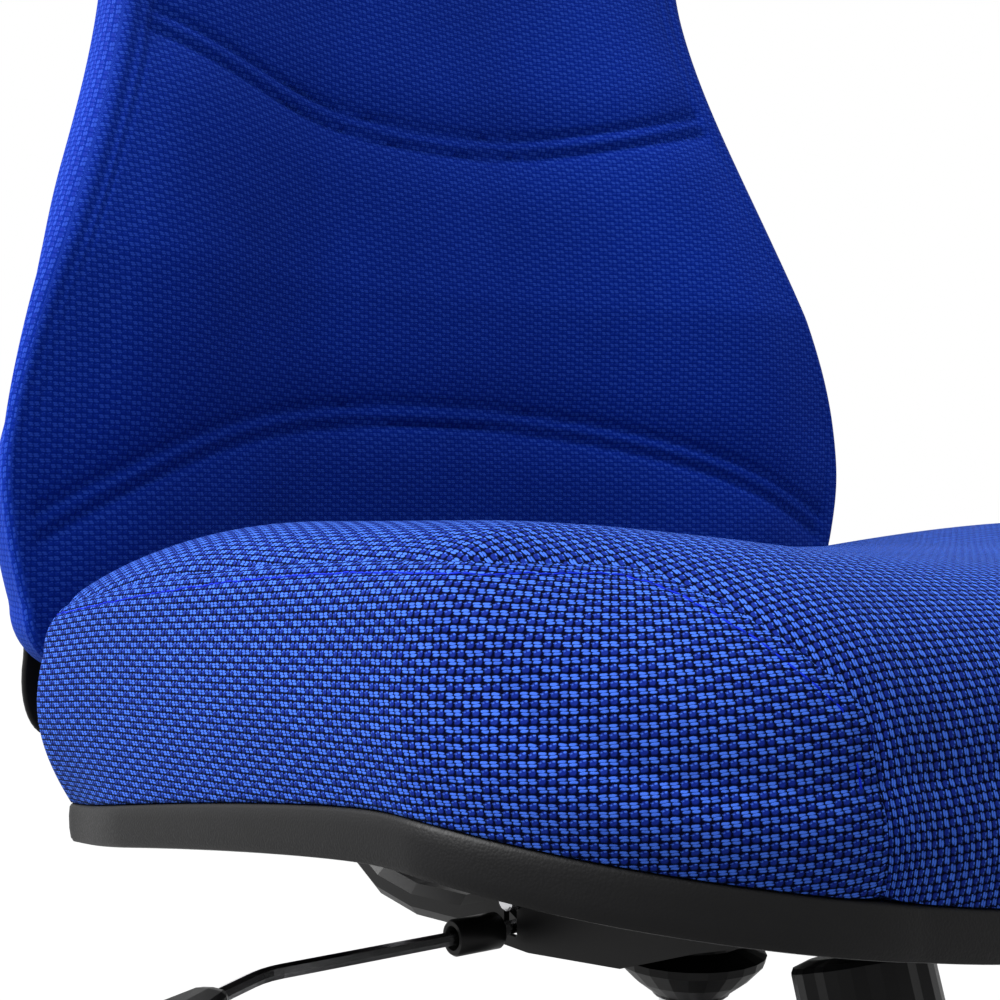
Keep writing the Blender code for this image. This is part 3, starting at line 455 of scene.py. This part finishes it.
MATERIALS = {
    "seat_cloth": cloth_material("seat_cloth", True, 0.8, 1.0),
    "back_cloth": cloth_material("back_cloth", False, 0.22, 0.28),
    "thread": new_material("thread", Base_Color=(0.0005, 0.008, 0.24, 1.0), Roughness=0.7,
                           Specular_IOR_Level=0.05)[0],
    "shell_plastic": plastic_material("shell_plastic",
                                      (0.0022, 0.0022, 0.0024, 1.0), 0.50, 1300.0, 0.35, 0.04),
    "plain_plastic": plastic_material("plain_plastic",
                                      (0.0022, 0.0022, 0.0024, 1.0), 0.36, 2200.0, 0.12, 0.05),
    "black_steel": steel_material("black_steel", (0.0022, 0.0022, 0.0024, 1.0), 0.42, 0.0, 0.10),
    "bright_steel": steel_material("bright_steel", (0.60, 0.60, 0.62, 1.0), 0.22),
    "tyre": plastic_material("tyre", (0.012, 0.012, 0.013, 1.0), 0.62, 700.0, 0.2, 0.05),
    "red_nylon": plastic_material("red_nylon", (0.45, 0.02, 0.015, 1.0), 0.40, 2000.0, 0.1, 0.05),
}

# ---- seat ----

SEAT_HALF_WIDTH = 0.248
SEAT_FRONT_Y = -0.247
SEAT_REAR_Y = 0.149
SEAT_MIDDLE_Y = -0.048
FRONT_CORNER = (0.114, 0.088, 1.8)
REAR_CORNER = (0.098, 0.035, 2.6)
FRONT_BOW = 0.008
REAR_BOW = 0.006
RIM_HEIGHT = 0.016
RIM_ARCH_Y = -0.152            # where the rim's underside is highest
RIM_ARCH_Z = -0.095
RIM_FRONT_DROP = 0.0325        # how far the rim falls from the arch to the front's middle
RIM_FRONT_RUN = 0.200
RIM_REAR_DROP = 0.037
RIM_REAR_RUN = 0.263
SHELL_FLOOR_Z = -0.124
SHELL_WALL = 0.005
PAD_FLOOR_Z = -0.1155
STITCH_SETBACK = 0.006         # from the panel seam to the topstitch
SEAT_COLUMNS = 520


def corner(reach_x, reach_y, power, t):
    """A quarter superellipse: |x / reach_x|^power + |y / reach_y|^power = 1."""
    angle = t * math.pi / 2
    return np.stack([reach_x * np.cos(angle) ** (2 / power), reach_y * np.sin(angle) ** (2 / power)], -1)


def mirrored_loop(half):
    """A closed loop from the half at +X, which starts and ends on the centre line."""
    other = half[::-1][1:-1] * np.array([-1.0, 1.0])
    return np.vstack([half, other])


def seat_plan():
    """The seat's plan: bowed front and rear edges, straight sides, and superellipse corners."""
    t = np.linspace(0.0, 1.0, 60)
    front_x = SEAT_HALF_WIDTH - FRONT_CORNER[0]
    rear_x = SEAT_HALF_WIDTH - REAR_CORNER[0]
    front_y = SEAT_FRONT_Y + FRONT_BOW + FRONT_CORNER[1]
    rear_y = SEAT_REAR_Y - REAR_BOW - REAR_CORNER[1]
    front = np.stack([front_x * t, SEAT_FRONT_Y + FRONT_BOW * t * t], -1)[:-1]
    turn = corner(*FRONT_CORNER, 1.0 - t) * np.array([1.0, -1.0]) + np.array([front_x, front_y])
    side = np.stack([np.full(60, SEAT_HALF_WIDTH), front_y + (rear_y - front_y) * t], -1)[1:-1]
    back = corner(*REAR_CORNER, t) + np.array([rear_x, rear_y])
    rear = np.stack([rear_x * (1 - t), SEAT_REAR_Y - REAR_BOW * (1 - t) ** 2], -1)[1:]
    half = np.vstack([front, turn, side, back, rear])
    return resample(mirrored_loop(half), SEAT_COLUMNS, closed=True)


def outward(loop):
    """Unit normals of a closed loop that runs anticlockwise seen from above, smoothed a little."""
    step = np.roll(loop, -2, 0) - np.roll(loop, 2, 0)
    normal = np.stack([step[:, 1], -step[:, 0]], -1)
    normal /= np.linalg.norm(normal, axis=1, keepdims=True)
    for _ in range(6):
        normal = (np.roll(normal, 1, 0) + normal + np.roll(normal, -1, 0)) / 3.0
    return normal / np.linalg.norm(normal, axis=1, keepdims=True)


PLAN = seat_plan()
PLAN_OUT = outward(PLAN)
PLAN_STEP = np.linalg.norm(np.roll(PLAN, -1, 0) - PLAN, axis=1)
PLAN_RUN = np.concatenate([[0.0], np.cumsum(PLAN_STEP)])          # from the middle of the front edge
FRONTNESS = smooth_step((-PLAN_OUT[:, 1] - 0.25) / 0.70)
REARNESS = smooth_step((PLAN_OUT[:, 1] - 0.05) / 0.90)


def from_front():
    """Distance of each column from the middle of the front edge, the shorter way round."""
    run = PLAN_RUN[:-1]
    return np.minimum(run, PLAN_RUN[-1] - run)


def rim_height_line():
    """Underside of the shell's rim. It arches up at each side just behind the front corner and falls as a
    power of the distance either way, then its kinks are smoothed."""
    half = SEAT_COLUMNS // 2
    arch = from_front()[np.argmin(np.abs(PLAN[:half, 1] - RIM_ARCH_Y) + (PLAN[:half, 0] < 0.2))]
    away = from_front() - arch
    front = RIM_ARCH_Z - RIM_FRONT_DROP * np.clip(-away / RIM_FRONT_RUN, 0.0, 1.0) ** 1.05
    rear = RIM_ARCH_Z - RIM_REAR_DROP * np.clip(away / RIM_REAR_RUN, 0.0, 1.0) ** 1.2
    line = np.where(away < 0.0, front, rear)
    for _ in range(60):
        line = (np.roll(line, 1) + line + np.roll(line, -1)) / 3.0
    return line


RIM_LOW = rim_height_line()
PULL_IN = 0.003 + 0.008 * smooth_step((PLAN[:, 1] - 0.040) / 0.080)


def seat_top(x, y):
    """The padding's top before its shoulders: a dish in the middle, a parabola down to the rear and a slight
    fall at the front."""
    out = np.hypot(x / 0.200, (y + 0.040) / 0.250)
    dish = 0.0115 * (1.0 - smooth_step((out - 0.45) / 0.65))
    fall = 0.9 * np.clip(y + 0.045, 0.0, None) ** 2
    return -dish - fall - 0.0055 * smooth_step((-y - 0.130) / 0.090)


def stitch_height(run):
    """Height of the topstitch by the distance from the front's middle: level near the crest along the side, a
    slow fall to the rear, a parabola down the front corner and a straight plunge from there to the rim."""
    corner_fall = 7.2 * np.clip(0.233 - run, 0.0, None) ** 2 + 6.2 * np.clip(0.1615 - run, 0.0, None)
    return -0.0138 - corner_fall - 0.0362 * smooth_step((run - 0.279) / 0.45)


def seam_distance(grid, run, depth, first):
    """Signed distance in the unrolled cloth to the panel seam, positive on the side panel. The topstitch lies
    6 mm into the side panel at the height that stitch_height gives."""
    half = SEAT_COLUMNS // 2
    at_run = np.concatenate([np.linspace(0.1501, 0.170, 80), np.linspace(0.171, 0.79, 260)])
    at_z = stitch_height(at_run)
    columns = np.interp(at_run, run[:half], np.arange(half))
    line = []
    for here, z, column in zip(at_run, at_z, columns):
        k = int(round(column))
        line.append((here, np.interp(-z, -grid[first:, k, 2], depth[first:, k])))
    line = np.array(line)
    flat = np.stack([np.broadcast_to(run, depth.shape).ravel(), depth.ravel()], -1)
    nearest = np.full(len(flat), 1.0)
    for chunk in np.array_split(np.arange(len(flat)), 16):
        nearest[chunk] = np.linalg.norm(flat[chunk][:, None] - line[None], axis=2).min(axis=1)
    edge = np.interp(flat[:, 0], line[:, 0], line[:, 1])
    inside = (flat[:, 0] > line[0, 0]) & (flat[:, 1] > edge)
    return np.where(inside, nearest, -nearest).reshape(depth.shape) + STITCH_SETBACK


def seat_surface():
    """The padding's grid: a dish inside the crest, then a shoulder that rounds over as a quarter of a
    superellipse, a side that bulges and draws in to the rim, and a tuck under. Gives the points, the distance
    down from the crest and the row where the crest lies."""
    reach = 0.046 + 0.034 * FRONTNESS
    drop = 0.030 + 0.034 * FRONTNESS + 0.006 * REARNESS
    power = 2 / 2.25
    angle = np.linspace(0.0, 1.0, 44)[:, None] * math.pi / 2
    inset = reach * (1.0 - np.sin(angle) ** power)
    ring = PLAN[None] - PLAN_OUT[None] * inset[..., None]
    shoulder = seat_top(ring[..., 0], ring[..., 1]) - drop * (1.0 - np.cos(angle) ** power)
    down = np.linspace(0.0, 1.0, 40)[1:, None]
    rim_top = RIM_LOW + RIM_HEIGHT + 0.0004
    side_height = shoulder[-1] * (1 - down) + rim_top * down
    bulge = 0.0022 + 0.0015 * smooth_step((PLAN[:, 1] - 0.03) / 0.07)
    side_inset = -bulge * np.sin(math.pi * down ** 0.9) + PULL_IN * down ** 2.2
    side = PLAN[None] - PLAN_OUT[None] * side_inset[..., None]
    outer = np.concatenate([np.vstack([ring, side]), np.vstack([shoulder, side_height])[..., None]], -1)
    share = np.linspace(0.02, 1.0, 44)[:-1, None]
    middle = np.array([0.0, SEAT_MIDDLE_Y])
    flat = middle + (ring[0][None] - middle) * share[..., None]
    inner = np.concatenate([flat, seat_top(flat[..., 0], flat[..., 1])[..., None]], -1)
    under = []
    arch = np.maximum(RIM_LOW - SHELL_FLOOR_Z, 0.0)
    for inward, height in ((0.003, rim_top), (0.010, np.maximum(rim_top - 0.003, PAD_FLOOR_Z)),
                           (0.060, PAD_FLOOR_Z + 0.70 * arch), (0.140, np.full(SEAT_COLUMNS, PAD_FLOOR_Z))):
        tucked = PLAN - PLAN_OUT * (PULL_IN[:, None] + inward)
        under.append(np.concatenate([tucked, height[:, None]], -1))
    grid = np.vstack([inner, outer, np.array(under)])
    step = np.linalg.norm(np.diff(grid, axis=0), axis=2)
    depth = np.vstack([np.zeros((1, SEAT_COLUMNS)), np.cumsum(step, 0)])
    return grid, depth - depth[len(inner)], len(inner)


def normals_of(grid):
    """Unit normals of a wrapped grid, from its steps along both ways."""
    along = np.roll(grid, -1, 1) - np.roll(grid, 1, 1)
    down = np.gradient(grid, axis=0)
    normal = np.cross(down, along)
    length = np.linalg.norm(normal, axis=2, keepdims=True)
    return normal / np.maximum(length, 1e-12)


def closed_columns(values):
    """The same grid with its first column repeated at the end, where its map closes."""
    return np.concatenate([values, values[:, :1]], 1)


def seat_cushion():
    """The seat padding: seat_surface pressed in along its normals by bell curves of the distance to the seam,
    a narrow and a broad one at the seam and one at the topstitch. The side panel's map counts round the
    plan and down to the rim; the top panel's map is the surface unrolled outwards from the crest."""
    grid, depth, crest_row = seat_surface()
    seam = seam_distance(grid, from_front(), depth, crest_row)
    normal = normals_of(grid)
    if normal[10, 0, 2] < 0:
        normal = -normal
    groove = 0.0009 * np.exp(-(seam / 0.0020) ** 2) + 0.0008 * np.exp(-(seam / 0.009) ** 2)
    groove += 0.0005 * np.exp(-((seam - STITCH_SETBACK) / 0.0014) ** 2)
    smooth_grid = grid
    grid = grid - normal * groove[..., None]
    rim_depth = depth[-5]
    flat = grid[..., :2].copy()
    flat[crest_row:] = smooth_grid[crest_row, :, :2] + PLAN_OUT * depth[crest_row:, :, None]
    run_map = np.broadcast_to(PLAN_RUN, (len(depth), SEAT_COLUMNS + 1))
    side_across = closed_columns(RIM_LOW + rim_depth - depth + 0.062 * from_front())
    side_map = np.stack([run_map, side_across], -1)
    top_map = closed_columns(np.stack([flat[..., 1], flat[..., 0]], -1))
    points = world(grid[..., 0], grid[..., 1], grid[..., 2])
    pad = skin("seat_padding", points, "seat", MATERIALS["seat_cloth"], wrap=True,
               poles=(True, True), maps={"side_cloth": side_map, "top_cloth": top_map}, marks={"seam": seam},
               smooth_angle=80.0, replaces=("seat_cushion",))
    return points, seam


def seat_shell():
    """The hard shell: loops of the plan drawn inwards by each step's inset, at each step's height. The rim
    follows the wavy line and is rolled at its top edge; the underside rises to it where it arches."""
    low = RIM_LOW
    floor = SHELL_FLOOR_Z
    arch = np.maximum(low - floor, 0.0)
    steps = [(0.140, floor), (0.100, floor + 0.35 * arch), (0.060, floor + 0.70 * arch),
             (0.030, floor + 0.98 * arch), (0.010, low + 0.0012), (0.0030, low), (0.0010, low + 0.0006),
             (0.0, low + 0.0022), (-0.0006, low + 0.0060), (-0.0008, low + 0.0110), (-0.0005, low + 0.0146),
             (0.0001, low + 0.0156), (0.0010, low + 0.0161), (0.0024, low + 0.0161), (0.0036, low + 0.0150),
             (0.0080, np.maximum(low + 0.0100, floor + SHELL_WALL)),
             (0.060, floor + SHELL_WALL + 0.70 * arch), (0.140, floor + SHELL_WALL)]
    rows = []
    for inset, height in steps:
        ring = PLAN - PLAN_OUT * (PULL_IN[:, None] + inset)
        rows.append(np.concatenate([ring, np.broadcast_to(height, SEAT_COLUMNS)[:, None]], 1))
    grid = np.array(rows)
    middle = np.array([0.0, SEAT_MIDDLE_Y, 0.0])
    inner_low = grid[0] * np.array([0.5, 0.5, 1.0]) + middle * 0.5
    inner_top = grid[-1] * np.array([0.5, 0.5, 1.0]) + middle * 0.5
    grid = np.vstack([inner_low[None], grid, inner_top[None]])
    skin("seat_pan", world(grid[..., 0], grid[..., 1], grid[..., 2]), "seat", MATERIALS["shell_plastic"],
         wrap=True, poles=(True, True), replaces=("seat_shell",))


def stitches(name, path, body, surface, length=0.0036, gap=0.0005, radius=0.00040):
    """A row of thread stitches along a path: each is a short spindle, thick in its middle and thin at its
    ends."""
    run = np.concatenate([[0.0], np.cumsum(np.linalg.norm(np.diff(path, axis=0), axis=1))])
    count = int(run[-1] / (length + gap))
    share = np.array([0.0, 0.12, 0.35, 0.65, 0.88, 1.0])
    swell = np.array([0.35, 0.85, 1.0, 1.0, 0.85, 0.35])
    points = []
    faces = []
    for index in range(count):
        at = index * (length + gap) + share * length
        centre = np.stack([np.interp(at, run, path[:, k]) for k in range(3)], -1)
        ring = along_path(centre, circle(radius, 6)[None] * swell[:, None, None])
        start = len(points) * 36
        quads, _ = grid_faces(6, 6, True)
        faces += (quads + start).tolist()
        faces.append([start + k for k in range(5, -1, -1)])
        faces.append([start + 30 + k for k in range(6)])
        points.append(ring.reshape(-1, 3))
    return finish_piece(name, np.vstack(points), faces, body, surface)


def seat_stitches(points, seam):
    """Topstitching 6 mm into the side panel, found where the seam distance passes that value."""
    half = SEAT_COLUMNS // 2
    for side, columns in (("left", np.arange(1, half)), ("right", np.arange(SEAT_COLUMNS - 1, half, -1))):
        line = []
        for column in columns:
            values = seam[:-6, column] - STITCH_SETBACK
            crossing = np.nonzero((values[:-1] < 0) & (values[1:] >= 0))[0]
            if len(crossing) == 0:
                continue
            row = crossing[0]
            t = -values[row] / (values[row + 1] - values[row])
            line.append(points[row, column] * (1 - t) + points[row + 1, column] * t)
        path = resample(np.array(line), 900)
        stitches("seat_topstitch_" + side, path, "seat", MATERIALS["thread"])


# ---- back ----

BACK_LOW_Z = -0.067
BACK_TOP_Z = 0.560
BACK_BORDER = 0.0450           # depth of the padding's border strip
BACK_COLUMNS = 560


def back_half_width(z):
    """Half the back's width: widest beside the seat, a waist above it, then the shoulders."""
    low = 0.255 - 0.072 * smooth_step((z - 0.010) / 0.300)
    wide = low + 0.016 * smooth_step((z - 0.30) / 0.15)
    return wide - 0.022 * np.clip((0.035 - z) / 0.102, 0.0, None) ** 2


def back_centre_y(z):
    """The front face on the centre line: two parabolas that meet at the lumbar swell."""
    above = z - 0.120
    return np.where(above < 0.0, 0.194 + 0.25 * above ** 2, 0.194 + 0.10 * above + 0.18 * above ** 2)


def back_front_y(x, z):
    """The front face: back_centre_y on the centre line, and wings that come forward at the sides."""
    share = np.abs(x) / back_half_width(z)
    reach = 0.055 - 0.040 * smooth_step((z - 0.06) / 0.32)
    return back_centre_y(z) - reach * smooth_step((share - 0.22) / 0.62)


def back_plan():
    """The back's outline in X and Z, from the middle of its lower edge round one side to the top."""
    t = np.linspace(0.0, 1.0, 80)
    foot_z = BACK_LOW_Z + 0.028
    foot_x = float(back_half_width(np.array(foot_z)))
    lower = np.stack([(foot_x - 0.030) * t, np.full(80, BACK_LOW_Z)], -1)[:-1]
    turn = corner(0.030, 0.028, 2.0, 1.0 - t) * np.array([1.0, -1.0]) + np.array([foot_x - 0.030, foot_z])
    shoulder_z = BACK_TOP_Z - 0.125
    z = foot_z + (shoulder_z - foot_z) * t
    side = np.stack([back_half_width(z), z], -1)[1:-1]
    shoulder = float(back_half_width(np.array(shoulder_z)))
    top = corner(shoulder, 0.125, 2.7, t) + np.array([0.0, shoulder_z])
    return resample(mirrored_loop(np.vstack([lower, turn, side, top])), BACK_COLUMNS, closed=True)


def channel_field(x, z):
    """How far each point lies above the upper and the lower stitched channel, in the plane of the back."""
    upper = z - (0.2055 + 0.034 * np.abs(x / 0.190) ** 1.8)
    lower = z - (0.0560 - 0.064 * np.abs(x / 0.248) ** 2.4)
    slope_u = 0.036 * 1.8 / 0.190 * np.abs(x / 0.190) ** 0.8
    slope_l = 0.064 * 2.3 / 0.248 * np.abs(x / 0.248) ** 1.3
    return upper / np.sqrt(1 + slope_u ** 2), lower / np.sqrt(1 + slope_l ** 2)


def channel_relief(distance):
    """Depth of a stitched channel: two narrow grooves either side of a bead, in a broad soft hollow."""
    grooves = np.exp(-((distance - 0.0055) / 0.0020) ** 2) + np.exp(-((distance + 0.0055) / 0.0020) ** 2)
    bead = np.exp(-(distance / 0.0032) ** 2)
    hollow = np.exp(-(distance / 0.017) ** 2)
    return 0.0034 * hollow + 0.0026 * grooves - 0.0010 * bead


def arc_across(x, z):
    """Length across the front face from the centre line, added up in short steps."""
    share = np.linspace(0.0, 1.0, 33)
    xs = x[..., None] * share
    ys = back_front_y(xs, z[..., None])
    return np.sign(x) * np.hypot(np.diff(xs, axis=-1), np.diff(ys, axis=-1)).sum(-1)


def back_cushion():
    """The back padding: loops of the outline drawn in to a hub and set on back_front_y, pressed in by
    channel_relief. The edge is a quarter round, the border strip behind it leans in by its depth, and three
    loops close the rear. The face's map is the arc length across by the height; the border's map is the run
    round the outline by the depth."""
    plan = back_plan()
    out = outward(plan)
    q = np.linspace(0.0, 1.0, 16)[:, None]
    angle = q * math.pi / 2
    edge = 0.006 + 0.007 * smooth_step((plan[:, 1] - 0.020) / 0.150)
    straight = 0.018 * smooth_step((plan[:, 1] - 0.040) / 0.120)
    inset = edge * (1.0 - np.sin(angle))
    set_back = edge * (1.0 - np.cos(angle))
    rings = plan[None] - out[None] * inset[..., None]
    crest = rings[0]
    hub = np.array([0.0, 0.300])
    share = np.linspace(0.008, 1.0, 120)[:-1, None]
    inner = hub + (crest[None] - hub) * share[..., None]
    flat = np.vstack([inner, rings])
    behind = np.vstack([np.zeros((len(share), BACK_COLUMNS)), set_back])
    side_steps = np.linspace(0.0, 1.0, 12)[1:, None]
    depth_side = edge + side_steps * (BACK_BORDER - edge)
    lean = (0.14 + 0.31 * smooth_step((plan[:, 1] + 0.010) / 0.110)) * np.abs(out[:, 0])
    taper = lean * np.clip(depth_side - straight, 0.0, None)
    bulge = 0.002 * side_steps ** 3 - 0.0012 * np.sin(math.pi * side_steps)
    flat = np.vstack([flat, plan[None] - out[None] * (taper + bulge)[..., None]])
    behind = np.vstack([behind, depth_side])
    x, z = flat[..., 0], flat[..., 1]
    half = back_half_width(z)
    y = back_front_y(np.clip(x, -half, half), z)
    upper, lower = channel_field(x, z)
    reach = np.linalg.norm(crest[None] - flat[:len(share)], axis=2)
    fade = np.vstack([smooth_step(reach / 0.014), np.zeros((len(flat) - len(share), BACK_COLUMNS))])
    relief = (channel_relief(upper) + channel_relief(lower)) * fade
    seam = np.vstack([-reach, q * edge * 1.4, 0.02 + depth_side])
    edge_seam = 0.0010 * np.exp(-((seam + 0.001) / 0.0022) ** 2)
    edge_stitch = 0.0007 * np.exp(-((seam + 0.0090) / 0.0016) ** 2)
    y = y + behind + relief + (edge_seam + edge_stitch)
    rear = []
    for shrink, push in ((0.006, 0.0), (0.02, -0.002), (0.10, 0.006)):
        ring = plan - out * (shrink + taper[-1])[:, None]
        ring_half = back_half_width(ring[:, 1])
        base = back_front_y(np.clip(ring[:, 0], -ring_half, ring_half), ring[:, 1])
        rear.append(np.stack([ring[:, 0], base + BACK_BORDER + push, ring[:, 1]], -1))
    grid = np.concatenate([np.stack([x, y, z], -1), np.array(rear)])
    run = np.concatenate([[0.0], np.cumsum(np.linalg.norm(np.roll(plan, -1, 0) - plan, axis=1))])
    across = arc_across(grid[..., 0], np.clip(grid[..., 2], BACK_LOW_Z, BACK_TOP_Z))
    face_map = closed_columns(np.stack([across, grid[..., 2] * 1.01], -1))
    rows_front = len(share) + 6
    rear_depth = np.broadcast_to([[0.054], [0.068], [0.148]], (3, BACK_COLUMNS))
    border_depth = closed_columns(np.vstack([behind, rear_depth]))
    border_map = np.stack([np.broadcast_to(run, border_depth.shape), -border_depth], -1)
    face_map[rows_front:] = border_map[rows_front:]
    points = world(grid[..., 0], grid[..., 1], grid[..., 2])
    pad = skin("back_padding", points, "back", MATERIALS["back_cloth"], wrap=True,
               poles=(True, True), maps={"side_cloth": face_map}, smooth_angle=80.0, replaces=("back_cushion",))


def back_shell():
    """The hard rear shell: a thin dish behind the padding, a little lower than the cloth. Each step draws the
    outline in by its first number, past the edge band by shrinking it to the hub, and sets it behind
    back_front_y by its second."""
    plan = back_plan()
    low = np.clip((0.02 - plan[:, 1]) / 0.087, 0.0, 1.0)
    plan = plan + np.stack([np.zeros(BACK_COLUMNS), -0.043 * low ** 1.5], -1)
    out = outward(plan)
    hub = np.array([0.0, 0.22])
    tuck = 0.018 * np.abs(out[:, 0]) * (1.0 - low)
    rows = []
    edge_band = 0.018
    for shrink, push in ((0.110, 0.0550), (0.060, 0.0545), (0.030, 0.0500), (0.018, 0.0475), (0.0125, 0.0462),
                         (0.0114, 0.0466), (0.0110, 0.0480), (0.0112, 0.0496), (0.0124, 0.0510),
                         (0.022, 0.0560), (0.040, 0.0610), (0.060, 0.0625), (0.110, 0.0600)):
        ring = plan - out * (min(shrink, edge_band) + tuck)[:, None]
        ring = hub + (ring - hub) * (1.0 - max(shrink - edge_band, 0.0) / 0.28)
        half = back_half_width(ring[:, 1])
        base = back_front_y(np.clip(ring[:, 0], -half, half), ring[:, 1])
        rows.append(np.stack([ring[:, 0], base + push, ring[:, 1]], -1))
    grid = np.array(rows)
    ends = []
    for row, push in ((0, 0.0550), (-1, 0.0600)):
        inner = []
        for share in ((0.15, 0.35, 0.55, 0.80) if row == 0 else (0.80, 0.55, 0.35, 0.15)):
            x = grid[row, :, 0] * share
            z = hub[1] + (grid[row, :, 2] - hub[1]) * share
            inner.append(np.stack([x, back_front_y(x, z) + push, z], -1))
        ends.append(np.array(inner))
    grid = np.vstack([ends[0], grid, ends[1]])
    skin("back_pan", world(grid[..., 0], grid[..., 1], grid[..., 2]), "back", MATERIALS["shell_plastic"],
         wrap=True, poles=(True, True), smooth_angle=60.0, replaces=("back_shell",))


# ---- lever sleeves ----


def lever_sleeves():
    """Short turned sleeves round the two lever rods beside the mechanism's cheeks: an outer and an inner
    wall, closed by rounded lips. Each moves with its own lever."""
    profile = [(0.0046, 0.0), (0.0072, 0.0), (0.0080, 0.0010), (0.0080, 0.0230), (0.0072, 0.0242),
               (0.0054, 0.0242), (0.0046, 0.0232), (0.0046, 0.0)]
    for name, side, body in (("height_lever_sleeve", -1.0, "height_lever"),
                             ("tilt_lever_sleeve", 1.0, "tilt_lever")):
        centre = world(np.array(side * 0.0622), np.array(0.058), np.array(-0.1815))
        sleeve = skin(name, turned(profile, centre, (side, 0.0, 0.0)), body, MATERIALS["black_steel"],
                      wrap=True)
        mesh = bmesh.new()
        mesh.from_mesh(sleeve.data)
        bmesh.ops.remove_doubles(mesh, verts=mesh.verts, dist=1e-6)
        mesh.to_mesh(sleeve.data)
        mesh.free()


# ---- stage ----

WORLD_STRENGTH = 1.0
SUNS = (                       # name, direction it shines from, strength, width in degrees
    ("key", (-0.70, 0.30, 0.74), 12.5, 40.0),
    ("fill", (-0.22, -0.16, 0.96), 3.0, 50.0),
)


def stage():
    """A plain pale floor, a pale surround and two soft lights."""
    size = 30.0
    mesh = bpy.data.meshes.new("floor")
    corners = [(-size, -size, 0), (size, -size, 0), (size, size, 0), (-size, size, 0)]
    mesh.from_pydata(corners, [], [(0, 1, 2, 3)])
    floor = bpy.data.objects.new("floor", mesh)
    bpy.context.scene.collection.objects.link(floor)
    pale, _, _ = new_material("pale_floor", Base_Color=(0.225, 0.225, 0.225, 1.0), Roughness=0.9,
                              Specular_IOR_Level=0.0)
    mesh.materials.append(pale)
    surround = bpy.data.worlds.new("surround")
    surround.use_nodes = True
    background = surround.node_tree.nodes["Background"]
    background.inputs[0].default_value = (1.0, 1.0, 1.0, 1.0)
    background.inputs[1].default_value = WORLD_STRENGTH
    bpy.context.scene.world = surround
    for name, towards, strength, softness in SUNS:
        data = bpy.data.lights.new(name, "SUN")
        data.energy = strength
        data.angle = math.radians(softness)
        light = bpy.data.objects.new(name, data)
        light.location = Vector(towards) * 3.0
        light.rotation_euler = Vector(towards).to_track_quat("Z", "Y").to_euler()
        bpy.context.scene.collection.objects.link(light)


def camera():
    """Low and close, from the sitter's right front, with the lens level with the seat's crest."""
    data = bpy.data.cameras.new("camera")
    data.sensor_width = 36.0
    data.lens = 57.6
    data.clip_start = 0.02
    eye = bpy.data.objects.new("camera", data)
    eye.location = (-0.480, LIFT_Y - 0.517, CREST_Z)
    eye.rotation_euler = Euler((math.radians(90.716), 0.0, math.radians(-36.1)), "XYZ")
    bpy.context.scene.collection.objects.link(eye)
    bpy.context.scene.camera = eye


def dress(node, surface):
    """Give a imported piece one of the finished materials."""
    mesh = frame["nodes"][node].data
    mesh.materials.clear()
    mesh.materials.append(MATERIALS[surface])


def dress_all():
    """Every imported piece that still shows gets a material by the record's slot."""
    chosen = {"black_plastic": "plain_plastic", "black_steel": "black_steel", "bright_steel": "bright_steel",
              "wheel_rubber": "tyre", "red_nylon": "red_nylon", "blue_fabric": "seat_cloth"}
    for part in frame["record"]["subparts"]:
        dress(part["node"], chosen[part["material_slot"]])


dress_all()
SEAT_POINTS, SEAT_SEAM = seat_cushion()
seat_stitches(SEAT_POINTS, SEAT_SEAM)
seat_shell()
back_cushion()
back_shell()
lever_sleeves()
stage()
camera()
bpy.context.scene.view_settings.view_transform = "Standard"
